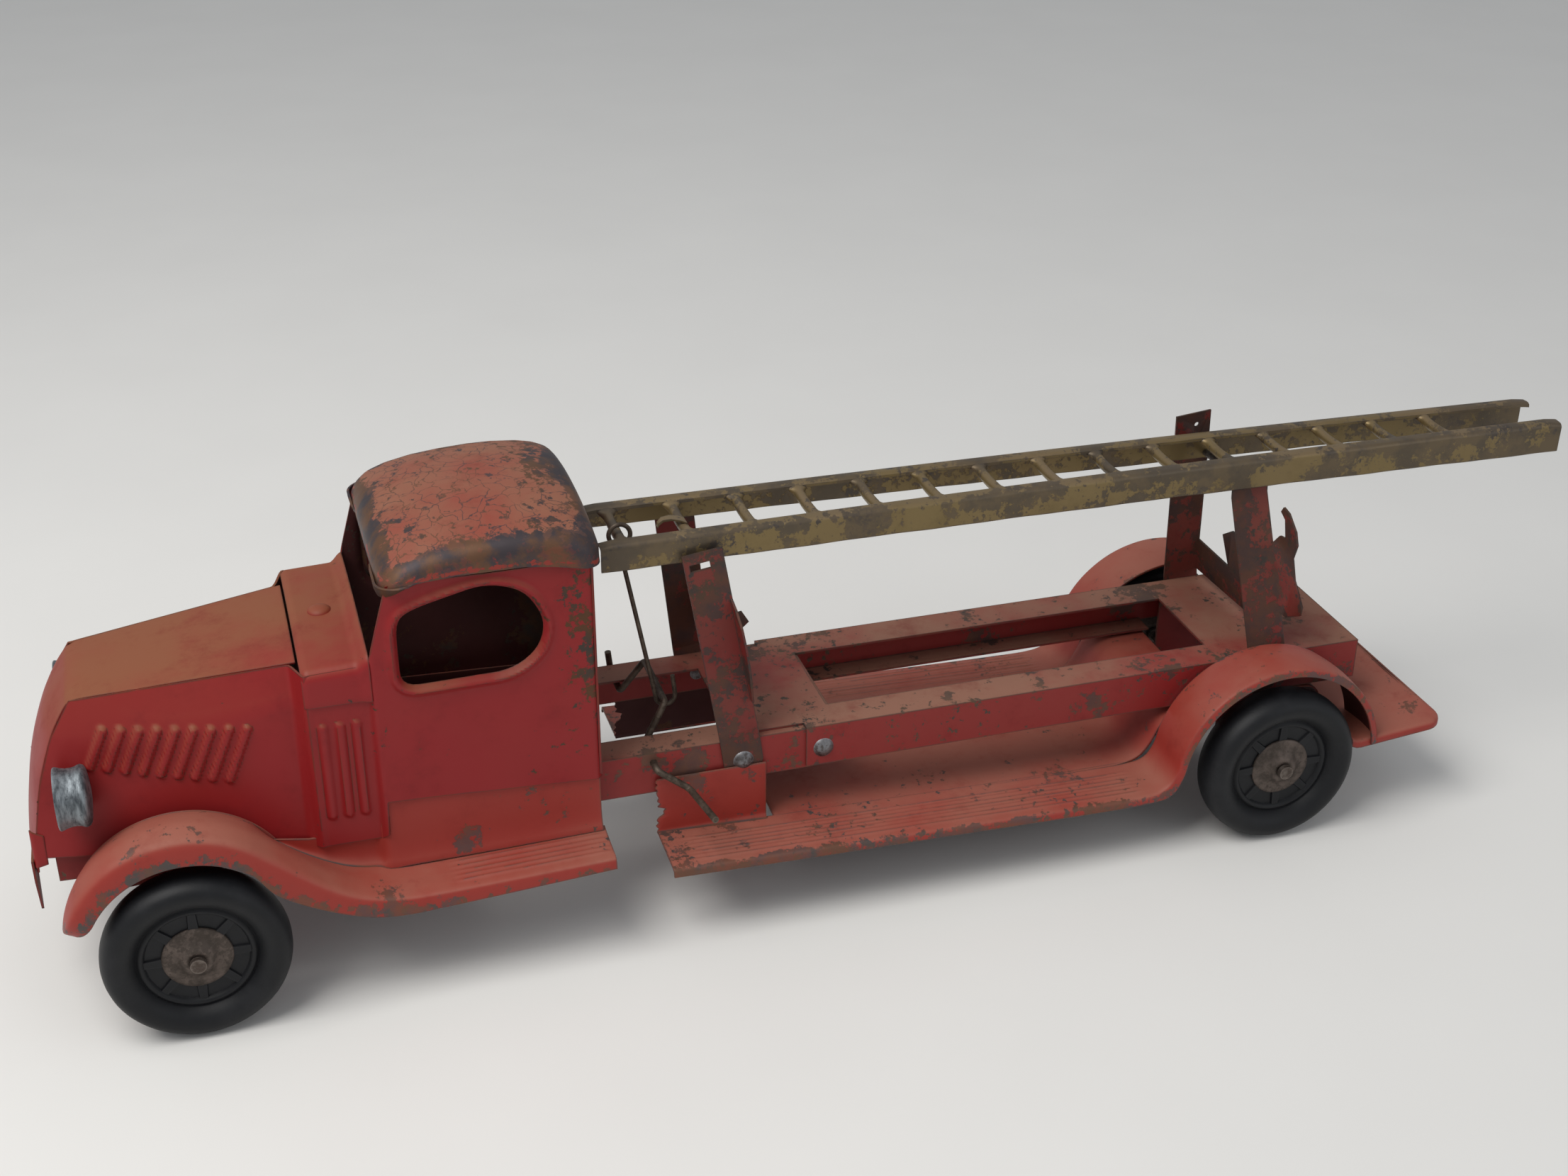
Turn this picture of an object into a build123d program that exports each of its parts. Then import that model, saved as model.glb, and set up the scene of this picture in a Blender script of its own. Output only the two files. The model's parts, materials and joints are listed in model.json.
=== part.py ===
"""Pressed-steel toy ladder truck with a crank-worked ladder.

Millimetres. +Z is up, the nose points along -X and the crank handle is on the -Y side.
The modelling datum is the ground point under the front axle. Every node is moved at export
so that the origin is the bottom centre of the whole truck's box.
"""

from build123d import *
import os
from math import acos, atan2, cos, degrees, hypot, radians, sin, tan

# ---- driving dimensions -------------------------------------------------------------------
SHEET = 1.0                          # thickness of the pressed sheet
LAP = 0.05                           # gap between sheets that lie on each other
WHEEL_R = 38.0
WHEELBASE = 490.0
TRACK_HALF = 68.0                    # wheel mid-plane from the centre plane
TYRE_HALF = 10.0
AXLE_R = 2.4
RUN_CLEAR = 0.05                     # radial clearance of every running fit
NOSE_X = -61.0                       # foremost point of the radiator front
NOSE_BULGE = 4.0

FRAME_HALF = 40.0
HANGER_HALF = 34.0
FRAME_TOP = 79.0
FRAME_BOTTOM = 59.0
FRONT_FRAME_X = (-50.0, 284.0)
FRONT_FRAME_NOSE = (33.3, 62.0)      # half breadth at the nose, and where the full breadth starts
FRONT_FRAME_OPENING = (-20.0, 236.0, 25.0)
REAR_FRAME_X = (246.0, 544.0)
REAR_FRAME_HALF = FRAME_HALF + SHEET + LAP
REAR_FRAME_TOP = FRAME_TOP + SHEET + LAP
DECK_OPENING = (282.7, 471.3, 24.0)  # x from, x to, half breadth
CHANNEL_LIP_X = (286.0, 470.0)

CAB_HALF = 50.0
CAB_X = (80.0, 174.0)
CAB_TOP = 181.0
CAB_SILL = 79.0
COWL_HALF = 47.5
COWL_X = (55.5, 79.3)
ROOF_HALF = CAB_HALF + SHEET + LAP
ROOF_X = (88.0, 177.0)
LAMP_CENTRE = (-38.0, 44.2, 105.0)
LAMP_R = 12.8
LAMP_PEG = (2.0, 1.6)                # behind the lamp's centre, and radius

FENDER_OUT = 72.0
FENDER_IN = 45.0
FRONT_CROWN = (-1.5, 46.0, 48.3)     # x, z and radius of the front fender's crown
REAR_CROWN = (487.5, 36.0, 52.5)
FRONT_BOARD_END = (174.0, 49.5)
REAR_BOARD_START = (199.0, 38.5)
PAN_START = (252.0, 37.275)          # where the boards start to run under the frame
REAR_BOARD_END = (437.0, 33.0)
PLATFORM_X = (541.0, 579.0)
PLATFORM_Z = (43.6, 47.4)

UPRIGHT_W = 18.0
RIVET_Z = 68.6
FRONT_FOOT_X = 238.9
JOINT_RIVET_X = 276.0
REAR_FOOT_X = 493.0
FRONT_LEAN = 7.7                     # degrees the uprights lean towards the nose
REAR_LEAN = 5.6
RIVET_R = 2.4
RIVET_HEAD_R = 4.6

PIVOT = (485.0, 160.0)               # ladder hinge, x and z
PIN_R = 1.5
LADDER_X0 = 183.0
LADDER_L = 473.5
LADDER_HALF = (22.4, 16.8)           # half breadth at the front end, at the rear end
LADDER_DEPTH = (12.2, 15.2)          # likewise
LADDER_TILT = 0.5                    # degrees, tail low
LADDER_TOP_AT_PIVOT = 170.8
RUNG_COUNT = 15
RUNG_PITCH = 28.83
RUNG_R = 2.6
FIRST_RUNG = 10.9                    # from the ladder's front end
RAIL_TOP = 7.4                       # breadth of each rail's top face

CRANK = (198.5, 74.3)                # crank bearing axis, x and z
CRANK_WIRE_R = 1.5
THROW_R = 20.0
THROW_ANGLE = 57.0                   # throw above the rearward horizontal at rest
LINK_WIRE_R = 1.0
EYE_R = 4.7                          # wire centre-line radius of the link's eye
HOOK_R = 4.35                        # wire centre-line radius of the link's hook
HOOK_CENTRE = (210.71, 91.63)

MID_X = (NOSE_X + LADDER_X0 + LADDER_L) / 2


# ---- helpers ------------------------------------------------------------------------------
def outline(points, rounding=0.0):
    """A closed face from corner points, all its corners rounded alike."""
    face = make_face(Polyline(*points, close=True))
    return fillet(face.vertices(), rounding) if rounding else face


def prism_y(face, y_low, y_high):
    """Extrude an (x, z) face between two Y planes."""
    return extrude(Plane.XZ.offset(-y_high) * face, amount=y_high - y_low)


def prism_x(face, x_low, x_high):
    """Extrude a (y, z) face between two X planes."""
    return extrude(Plane.YZ.offset(x_low) * face, amount=x_high - x_low)


def block(x_span, y_span, z_span):
    """A box from its three spans."""
    spans = (x_span, y_span, z_span)
    middle = [(low + high) / 2 for low, high in spans]
    return Pos(*middle) * Box(*[high - low for low, high in spans])


def rod_y(x, z, radius, y_first, y_last):
    """A round rod along Y."""
    return Pos(x, (y_first + y_last) / 2, z) * Rot(90, 0, 0) * Cylinder(radius, abs(y_last - y_first))


def joined(solids):
    """All the solids fused into one shape."""
    whole = solids[0]
    for solid in solids[1:]:
        whole = whole + solid
    return whole


def pushed_sheet(facets, direction):
    """Flat facets thickened along one direction and joined edge to edge."""
    faces = [make_face(Polyline(*facet, close=True)) for facet in facets]
    return joined([extrude(face, amount=SHEET, dir=direction) for face in faces])


def fan(hub, rim):
    """Triangles from one hub point to each span of a rim line."""
    return [(hub, first, second) for first, second in zip(rim, rim[1:])]


def rounded_top(shape, radius):
    """Round the two highest long edges of a shape that lies along X."""
    return fillet(shape.edges().filter_by(Axis.X).group_by(Axis.Z)[-1], radius)


def other_side(shape):
    """The same piece on the other side of the centre plane."""
    return mirror(shape, about=Plane.XZ)


def wire_rod(points, bend_radius, radius):
    """Round wire along straight runs with tangent bends."""
    path = FilletPolyline(*points, radius=bend_radius)
    section = Plane(origin=path @ 0, z_dir=path % 0) * Circle(radius)
    return sweep(section, path=path)


# ---- chassis ------------------------------------------------------------------------------
def rivet_hole(x):
    """The clearance of a pair of rivets through both sides of the frame."""
    return rod_y(x, RIVET_Z, RIVET_R, -FRAME_HALF - 6, FRAME_HALF + 6)


def tapered_tray(inset, z_low, z_high):
    """The front frame's outline in plan, narrowed under the hood, as a block."""
    nose, full_x = FRONT_FRAME_NOSE
    half = FRAME_HALF - inset
    near_edge = [(FRONT_FRAME_X[0], inset - nose), (full_x, -half), (FRONT_FRAME_X[1], -half)]
    far_edge = [(x, -y) for x, y in reversed(near_edge)]
    return extrude(Plane.XY.offset(z_low) * outline(near_edge + far_edge), amount=z_high - z_low)


def front_frame():
    """The cab channel: a top plate with an opening, and a flange turned down each side."""
    frame = tapered_tray(0.0, FRAME_BOTTOM, FRAME_TOP)
    frame -= tapered_tray(SHEET, FRAME_BOTTOM - 1, FRAME_TOP - SHEET)
    x_low, x_high, half = FRONT_FRAME_OPENING
    frame -= block((x_low, x_high), (-half, half), (FRAME_TOP - 3, FRAME_TOP + 1))
    bearing = rod_y(*CRANK, CRANK_WIRE_R + RUN_CLEAR, -FRAME_HALF - 1, FRAME_HALF + 1)
    return frame - bearing - rivet_hole(FRONT_FOOT_X) - rivet_hole(JOINT_RIVET_X)


def rear_frame():
    """The deck channel, lapped over the front frame and cut back beside the joint."""
    half, top, skin = REAR_FRAME_HALF, REAR_FRAME_TOP, REAR_FRAME_HALF - SHEET
    frame = block(REAR_FRAME_X, (-half, half), (FRAME_BOTTOM + SHEET, top))
    frame -= block((REAR_FRAME_X[0] - 1, REAR_FRAME_X[1] + 1), (-skin, skin), (FRAME_BOTTOM, top - SHEET))
    x_low, x_high, opening_half = DECK_OPENING
    frame -= block((x_low, x_high), (-opening_half, opening_half), (top - 3, top + 1))
    for side in (-1, 1):
        reach = sorted((side * (half - 4.5), side * (half + 1)))
        frame -= block((REAR_FRAME_X[0] - 1, REAR_FRAME_X[0] + 22), reach, (FRAME_BOTTOM, top + 1))
        lip = sorted((side * half, side * (half - 12)))
        frame += block(CHANNEL_LIP_X, lip, (FRAME_BOTTOM + SHEET, FRAME_BOTTOM + 2 * SHEET))
    frame += block((REAR_FRAME_X[1] - SHEET, REAR_FRAME_X[1]), (-half, half), (FRAME_BOTTOM + SHEET, top))
    return frame - rivet_hole(JOINT_RIVET_X) - rivet_hole(REAR_FOOT_X)


def axle_hanger(x, half, plate_z):
    """A saddle under the frame's top plate that carries one axle in its two legs."""
    outer = block((x - 13, x + 13), (-half, half), (WHEEL_R - 8, plate_z))
    inner = block((x - 14, x + 14), (SHEET - half, half - SHEET), (WHEEL_R - 9, plate_z - SHEET))
    return outer - inner - rod_y(x, WHEEL_R, AXLE_R, -half - 1, half + 1)


def axle(x):
    """A rod with a crimped collar inside each wheel and a peened head outside it."""
    tip = TRACK_HALF + 8.5
    rod = rod_y(x, WHEEL_R, AXLE_R, -tip, tip)
    for side in (-1, 1):
        rod += rod_y(x, WHEEL_R, AXLE_R + 0.9, side * tip, side * (tip + 2.4))
        rod += rod_y(x, WHEEL_R, AXLE_R + 1.2, side * (TRACK_HALF - 8.6), side * (TRACK_HALF - 10.2))
    return rod


# ---- wheels -------------------------------------------------------------------------------
def turned(profile, x, side):
    """Turn a (radius, breadth) profile about an axle; breadth grows away from the truck."""
    face = make_face(Polyline(*[(breadth, radius) for radius, breadth in profile], close=True))
    ring = revolve(face, axis=Axis.X)
    return Pos(x, side * TRACK_HALF, WHEEL_R) * Rot(0, 0, 90 * side) * ring


def tyre(x, side):
    """A solid rubber wheel: a thick round rim, a raised ring and a thinner disc."""
    crown = [(33.2, 9.6), (35.4, 8.2), (37.2, 5.8), (WHEEL_R, 2.4)]
    wall = [(6.0, 3.6), (22.9, 3.6), (24.0, 5.6), (26.0, 7.6), (28.4, 9.4), (30.8, TYRE_HALF)] + crown
    back = [(radius, -breadth) for radius, breadth in reversed(wall)]
    return turned(wall + back, x, side)


def hub_plate(x, side, face):
    """A dished steel plate on one face of the wheel: face +1 is outside, -1 inside."""
    bore = AXLE_R + RUN_CLEAR
    dish = [(bore, 3.6), (14.2, 3.6), (14.2, 4.7), (9.0, 5.2), (5.6, 8.0), (bore, 8.0)]
    return turned([(radius, face * breadth) for radius, breadth in dish], x, side)


# ---- hood and cab ------------------------------------------------------------------------
NOSE_LINE = [
    (-35.0, 25.0, 137.5), (-44.0, 27.5, 123.0), (-51.0, 30.5, 104.0),
    (-55.0, 33.5, 86.0), (-57.0, 35.5, 73.0),
]
HOOD_REAR_TOP = (52.0, 35.3, 145.9)
CREASE_FRONT = (-23.0, 26.4, 138.3)
CREASE_REAR = (52.0, 40.0, 131.0)
HOOD_FOOT = (50.0, 44.0, 66.0)
WINDOW_CORNERS = [
    (93.5, 136.0), (93.5, 165.0), (100.0, 169.5), (130.0, 177.0),
    (146.0, 171.0), (153.0, 155.0), (147.0, 141.5), (136.0, 136.5),
]


def near(point):
    """A half-breadth point on the crank side."""
    return (point[0], -point[1], point[2])


def window_outline(grown):
    """The D-shaped side window: square front corners, a rising head and a round rear end."""
    face = outline(WINDOW_CORNERS, 4.0)
    return offset(face, grown) if grown else face


def body_side():
    """Hood side, cowl panel and cab side in one pressing, on the crank side."""
    nose = [near(point) for point in NOSE_LINE]
    crease_front, crease_rear = near(CREASE_FRONT), near(CREASE_REAR)
    top_rear, foot = near(HOOD_REAR_TOP), near(HOOD_FOOT)
    cowl_foot = (COWL_X[0], -COWL_HALF, HOOD_FOOT[2])
    cowl_head = (COWL_X[0], -COWL_HALF, CREASE_REAR[2])
    hood = [(nose[0], crease_front, crease_rear), (nose[0], crease_rear, top_rear)]
    hood += fan(crease_front, nose) + [(crease_front, nose[-1], foot), (crease_front, foot, crease_rear)]
    hood += [(crease_rear, foot, cowl_foot), (crease_rear, cowl_foot, cowl_head)]
    side = pushed_sheet(hood, (0, 1, 0))
    side += block((COWL_X[0], 82.0), (-COWL_HALF, SHEET - COWL_HALF), (HOOD_FOOT[2], 144.0))
    side += block((79.5, 81.5), (-CAB_HALF, SHEET - COWL_HALF), (HOOD_FOOT[2], 150.0))
    rear = CAB_X[1]
    cab = [(79.5, CAB_SILL + 3), (rear, CAB_SILL - 3), (rear, CAB_TOP), (90.0, CAB_TOP), (80.5, 150.0)]
    side += prism_y(outline(cab), -CAB_HALF, SHEET - CAB_HALF)
    side += prism_y(window_outline(3.0), -CAB_HALF - 0.7, SHEET - CAB_HALF)
    for index in range(3):
        rib = Pos(61.5 + 6.8 * index, -COWL_HALF, 99.5) * Cylinder(1.2, 43.0)
        side += rib & block((50, 85), (-COWL_HALF - 2, SHEET / 2 - COWL_HALF), (60, 140))
    peg_hole = rod_y(LAMP_CENTRE[0] + LAMP_PEG[0], LAMP_CENTRE[2], LAMP_PEG[1] + LAP, -40, -20)
    return side - prism_y(window_outline(0.0), -CAB_HALF - 2, 3 - CAB_HALF) - peg_hole


def hood_panel():
    """The hood top and the radiator front, one bent sheet between the two body sides."""
    inset = SHEET + LAP
    top_front = (NOSE_LINE[0][0], NOSE_LINE[0][1] - inset, NOSE_LINE[0][2])
    top_rear = (HOOD_REAR_TOP[0], HOOD_REAR_TOP[1] - inset, HOOD_REAR_TOP[2])
    top = pushed_sheet([(near(top_front), top_front, top_rear, near(top_rear))], (0, 0, -1))
    levels = [(x, half - inset, z) for x, half, z in NOSE_LINE]
    facets = []
    for index, (upper, lower) in enumerate(zip(levels, levels[1:])):
        mid_upper = (upper[0] - NOSE_BULGE * min(index, 1), 0, upper[2])
        mid_lower = (lower[0] - NOSE_BULGE, 0, lower[2])
        facets += fan(mid_upper, [near(upper), near(lower), mid_lower])
        facets += fan(mid_upper, [mid_lower, lower, upper])
    return top + pushed_sheet(facets, (1, 0, 0))


def cowl_cap():
    """The saddle between hood and windscreen, with a ledge turned up along its rear edge."""
    inner, low, high = COWL_HALF + LAP, 131.5, 147.0
    out, top = inner + SHEET, high + SHEET
    outer = outline([(-out, low), (-out, top), (out, top), (out, low)])
    saddle = rounded_top(prism_x(outer, *COWL_X), 3.5)
    saddle -= rounded_top(block((50, 85), (-inner, inner), (low - 1, high)), 2.5)
    return saddle + block((COWL_X[1] - SHEET, COWL_X[1]), (-inner + 4, inner - 4), (high, high + 4.5))


def cowl_rivet():
    """The broad domed head on the cowl cap."""
    dome = Pos(67.0, 0, 143.2) * Sphere(7.6)
    return dome & block((55, 79), (-12, 12), (148.0, 152.0))


def cab_back():
    half = CAB_HALF - SHEET - LAP
    return block((CAB_X[1] - SHEET, CAB_X[1]), (-half, half), (FRAME_TOP + LAP, CAB_TOP - 1))


def cab_roof():
    """The arched roof with a skirt turned down all round."""
    def arch(inset):
        low = 179.0 - inset * 3
        front, rear = ROOF_X[0] + inset, ROOF_X[1] - inset
        crest = (142.0, 202.0 - inset)
        rise = ThreePointArc((front, 187.0), (112.0, 197.2 - inset), crest)
        fall = ThreePointArc(crest, (165.0, 199.4 - inset), (rear, 188.0))
        skirt = Polyline(fall @ 1, (rear, low), (front, low), (front, 187.0))
        return make_face(Curve() + [rise, fall, skirt])
    half = ROOF_HALF
    return prism_y(arch(0.0), -half - SHEET, half + SHEET) - prism_y(arch(SHEET), -half, half)


def headlamp():
    """A waisted drum, open to the front, closed by a domed back and pegged to the hood side."""
    x, y, z = LAMP_CENTRE
    drops = [(-7.0, 0.0), (-5.5, 0.0), (-4.0, 0.8), (0.0, 1.2), (4.0, 0.6), (6.5, 1.6), (7.5, 5.0)]
    skin = [(along, LAMP_R - drop) for along, drop in drops]
    inside = [(along, radius - 0.8) for along, radius in reversed(skin[:-1])]
    profile = [(7.5, 0)] + list(reversed(skin)) + list(reversed(inside)) + [(6.5, 0)]
    drum = revolve(make_face(Polyline(*profile, close=True)), axis=Axis.X)
    peg = rod_y(x + LAMP_PEG[0], z, LAMP_PEG[1], LAMP_R - y - 2, LAMP_R - y + 4.5)
    return Pos(x, -y, z) * drum + peg


def front_apron():
    """The thin plate under the radiator, drawn to a point at each end."""
    half = [(36.0, 72.0), (36.0, 62.0), (31.0, 45.5), (24.0, 61.0)]
    points = half + [(-y, z) for y, z in reversed(half)]
    return prism_x(outline(points), -59.2, -58.2) + block((-59, -50), (-30, 30), (71, 72))


# ---- fenders, boards and platform --------------------------------------------------------
def strip(path, depth):
    """The face between a line and its parallel a depth below it."""
    return make_face(offset(path, amount=depth, side=Side.RIGHT))


def front_wing():
    """Front fender, running board and the skirt under the cab, one pressing."""
    x, z, radius = FRONT_CROWN
    leave = 50.0
    crown = CenterArc((x, z), radius, 168.0, leave - 168.0)
    end_x, end_z = FRONT_BOARD_END
    slope = 0.044
    left = (x + radius * cos(radians(leave)), z + radius * sin(radians(leave)))
    fall = 1 / tan(radians(leave))
    corner_x = (left[1] + fall * left[0] - end_z + slope * end_x) / (fall + slope)
    corner = (corner_x, end_z - slope * (end_x - corner_x))
    path = Wire([*crown.edges(), *FilletPolyline(left, corner, (end_x, end_z), radius=28.0).edges()])
    wing = prism_y(strip(path, SHEET), -FENDER_OUT, -FENDER_IN)
    wing += prism_y(strip(path, 5.5), -FENDER_OUT, SHEET - FENDER_OUT)
    sill_y = SHEET + LAP - CAB_HALF
    skirt_end = end_x - SHEET - LAP
    skirt = [(50.0, 65.8), (82.2, 65.8), (82.2, 83.0), (skirt_end, 80.0), (skirt_end, end_z - SHEET)]
    skirt += [corner, (50.0, 62.0)]
    wing += prism_y(outline(skirt), sill_y, sill_y + SHEET)
    inner = [(-42.0, 62.0), (-34.0, 72.0), (50.0, 65.8), (56.0, 56.0), (50.0, 52.0), (0.0, 60.0)]
    return wing + prism_y(outline(inner), -FENDER_IN - SHEET, -FENDER_IN)


def rear_wing():
    """Half of the rear pan: running board, its upright skirt and the rear fender, one pressing."""
    x, z, radius = REAR_CROWN
    board = Polyline(REAR_BOARD_START, REAR_BOARD_END)
    crown = CenterArc((x, z), radius, 186.0, -178.0)
    wing = prism_y(strip(board, SHEET), -FENDER_OUT, -REAR_FRAME_HALF - LAP)
    wing += prism_y(strip(board, 4.5), -FENDER_OUT, SHEET - FENDER_OUT)
    wing += prism_y(strip(crown, SHEET), -FENDER_OUT, -FENDER_IN + SHEET)
    wing += prism_y(strip(crown, 5.0), -FENDER_OUT, SHEET - FENDER_OUT)
    wing += prism_y(strip(Polyline(PAN_START, REAR_BOARD_END), SHEET), -REAR_FRAME_HALF - LAP, -LAP)
    skirt = [(199.0, 37.5), (199.0, 66.0), (226.0, 66.0), (226.0, 58.5), (249.0, 58.5), (249.0, 37.0)]
    return wing + prism_y(outline(skirt), -REAR_FRAME_HALF - LAP - SHEET, -REAR_FRAME_HALF - LAP)


def rear_platform():
    """The tail step, hung from the frame on a bent tongue, its edges turned down."""
    (x_low, x_high), (z_low, z_high) = PLATFORM_X, PLATFORM_Z
    half = FENDER_OUT - 1
    plate = [(x_low, z_low), (x_high, z_high), (x_high, z_high - SHEET), (x_low, z_low - SHEET)]
    edge = [(x_low, z_low), (x_high, z_high), (x_high, z_high - 4), (x_low, z_low - 4)]
    step = prism_y(outline(plate), -half, half)
    step += block((x_high - SHEET, x_high), (-half, half), (z_high - 4, z_high - 0.1))
    for side in (-1, 1):
        step += prism_y(outline(edge), *sorted((side * half, side * (half - SHEET))))
    hang = FRAME_BOTTOM + SHEET
    tongue = [(x_low, z_low), (524.0, hang), (506.0, hang), (506.0, hang - SHEET), (523.5, hang - SHEET)]
    tongue += [(x_low, z_low - SHEET)]
    return step + prism_y(outline(tongue), -REAR_FRAME_HALF, REAR_FRAME_HALF)


# ---- ladder brackets ---------------------------------------------------------------------
def upright(side, foot_y, elbow, top):
    """One leg: a round foot, a slope inwards and a straight tip, in the bracket's own frame."""
    foot = Rot(90, 0, 0) * Cylinder(UPRIGHT_W / 2, SHEET) + Pos(0, 0, 7) * Box(UPRIGHT_W, SHEET, 16)
    leg = Pos(0, side * foot_y, 0) * foot
    stations = [(foot_y, 15.0), elbow, top]
    for (low_y, low_z), (high_y, high_z) in zip(stations, stations[1:]):
        low = Pos(0, side * low_y, low_z) * Rectangle(UPRIGHT_W, SHEET)
        high = Pos(0, side * high_y, high_z) * Rectangle(UPRIGHT_W, SHEET)
        leg += loft([low.face(), high.face()], ruled=True)
    return leg


def placed_bracket(shape, x, lean):
    """Lean a bracket towards the nose about its rivets and put it in place."""
    return Pos(x, 0, RIVET_Z) * Rot(0, -lean, 0) * shape - rivet_hole(x)


def rear_edge(points):
    """A plate across the rear edges of the uprights."""
    return prism_x(outline(points), UPRIGHT_W / 2 - SHEET, UPRIGHT_W / 2)


def front_bracket():
    """Two uprights that guide the ladder's front, a web, round ears and a pointed rear tab."""
    foot_y = FRAME_HALF + LAP + SHEET / 2
    elbow, top = (32.0, 60.0), (24.9, 98.0)
    bracket = upright(-1, foot_y, elbow, top) + upright(1, foot_y, elbow, top)
    web = [(-37.6, 28.0), (37.6, 28.0), (31.5, 56.0), (12.0, 50.0), (-12.0, 50.0), (-31.5, 56.0)]
    bracket += rear_edge(web)
    for side in (-1, 1):
        ear = [(37.6, 28.0), (41.0, 28.0), (44.5, 45.0), (45.0, 56.0), (42.0, 66.0), (36.0, 72.0)]
        ear += [(29.2, 75.0)]
        bracket += rear_edge([(side * y, z) for y, z in ear])
    tab = [(8.0, 40.0), (14.0, 39.5), (20.5, 44.0), (18.0, 50.0), (8.0, 50.0)]
    bracket += prism_y(outline(tab), -SHEET, 0)
    slot = Pos(-2, -30, 92) * Box(9, 20, 3)
    return placed_bracket(bracket - slot, FRONT_FOOT_X, FRONT_LEAN)


def rear_bracket():
    """Two uprights that carry the ladder's hinge pin, a web with a head, and a hook each side."""
    foot_y = REAR_FRAME_HALF + LAP + SHEET / 2
    near_elbow, near_top = (15.6, 84.0), (15.6, 95.0)
    far_elbow, far_top = (34.0, 66.0), (28.5, 108.0)
    bracket = upright(-1, foot_y, near_elbow, near_top) + upright(1, foot_y, far_elbow, far_top)
    web = [(-36.0, 15.5), (42.0, 15.5), (39.6, 33.0), (7.0, 33.0), (13.0, 48.0), (4.0, 54.0), (-26.6, 54.0)]
    bracket += rear_edge(web)
    hook = [(42.0, 30.0), (54.0, 37.0), (55.0, 42.0), (47.0, 52.0), (44.0, 62.0), (47.0, 70.0), (45.0, 76.0),
            (38.0, 82.4), (33.0, 83.4), (31.0, 80.4), (35.0, 78.0), (36.5, 69.0), (31.5, 68.0)]
    bracket += rear_edge([(-y, z) for y, z in hook] + [(-24.0, 60.0), (-35.6, 30.0)])
    bracket += rear_edge(hook + [(34.5, 62.0), (39.0, 30.0)])
    placed = placed_bracket(bracket, REAR_FOOT_X, REAR_LEAN)
    return placed - rod_y(*PIVOT, PIN_R, -30, 40) - rod_y(PIVOT[0], 169.8, 1.2, 20, 40)


def rivets(x, seat_y):
    """A pair of domed rivets, one through each side of the frame."""
    pair = []
    for side in (-1, 1):
        dome = Pos(x, side * (seat_y - 3.9), RIVET_Z) * Sphere(6.1)
        reach = sorted((side * seat_y, side * (seat_y + 4)))
        head = dome & block((x - 8, x + 8), reach, (RIVET_Z - 8, RIVET_Z + 8))
        shank = rod_y(x, RIVET_Z, RIVET_R, side * (seat_y + 0.1), side * (FRAME_HALF - SHEET - 0.1))
        inside = side * (FRAME_HALF - SHEET)
        button = rod_y(x, RIVET_Z, RIVET_R + 0.9, inside, inside - side * 0.8)
        pair.append(head + shank + button)
    return Compound(children=pair)


# ---- ladder and its drive ----------------------------------------------------------------
def on_ladder(shape):
    """Move a shape from the ladder's own frame (front end, top face) to the truck."""
    rise = (PIVOT[0] - LADDER_X0) * tan(radians(LADDER_TILT))
    return Pos(LADDER_X0, 0, LADDER_TOP_AT_PIVOT + rise) * Rot(0, LADDER_TILT, 0) * shape


def rung_x(index):
    return FIRST_RUNG + index * RUNG_PITCH


def tapered(front, rear, x_low, x_high):
    """A loft between two upright (half breadth, top, bottom) sections with cut upper corners."""
    ends = []
    for x, (half, top, bottom) in ((x_low, front), (x_high, rear)):
        edge = [(-half, bottom), (-half, top - 2), (2 - half, top), (half - 2, top), (half, top - 2), (half, bottom)]
        ends.append(make_face(Polyline(*[(x, y, z) for y, z in edge], close=True)))
    return loft(ends, ruled=True)


def ladder_half(x):
    """Half breadth of the ladder at a distance from its front end."""
    return LADDER_HALF[0] + (LADDER_HALF[1] - LADDER_HALF[0]) * x / LADDER_L


def ladder():
    """Two rails turned down from one sheet, closer at the rear, with round rungs between them."""
    (front, rear), (front_depth, rear_depth) = LADDER_HALF, LADDER_DEPTH
    body = tapered((front, 0, -front_depth), (rear, 0, -rear_depth), 0, LADDER_L)
    body -= tapered((front - 1, -SHEET, -30), (rear - 1, -SHEET, -30), -0.01, LADDER_L + 0.01)
    wide, narrow = front - RAIL_TOP, rear - RAIL_TOP
    opening = [(-1, -wide), (LADDER_L + 1, -narrow), (LADDER_L + 1, narrow), (-1, wide)]
    body -= Pos(0, 0, -3) * extrude(outline(opening), 4, dir=(0, 0, 1))
    for index in range(RUNG_COUNT):
        reach = ladder_half(rung_x(index)) - SHEET / 2
        body += rod_y(rung_x(index), -RUNG_R, RUNG_R, -reach, reach)
    return on_ladder(body) - rod_y(*PIVOT, PIN_R + RUN_CLEAR, -30, 30)


def ladder_pin():
    return rod_y(*PIVOT, PIN_R, -ladder_half(PIVOT[0] - LADDER_X0), 32.5)


def lift_crank():
    """One bent wire: a stop at the far end, the throw between the rails and the handle."""
    x, z = CRANK
    throw = (x + THROW_R * cos(radians(THROW_ANGLE)), z + THROW_R * sin(radians(THROW_ANGLE)))
    far = [(x - 1, 43.4, z + 10), (x, 43.4, z), (x, 23.6, z)]
    middle = [(throw[0], 19.0, throw[1]), (throw[0], -19.0, throw[1])]
    handle = [(x, -23.6, z), (x, -47.0, z), (x + 14.0, -47.0, z - 11.5), (x + 18.0, -76.0, z - 10.0)]
    return wire_rod(far + middle + handle, 2.6, CRANK_WIRE_R)


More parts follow.
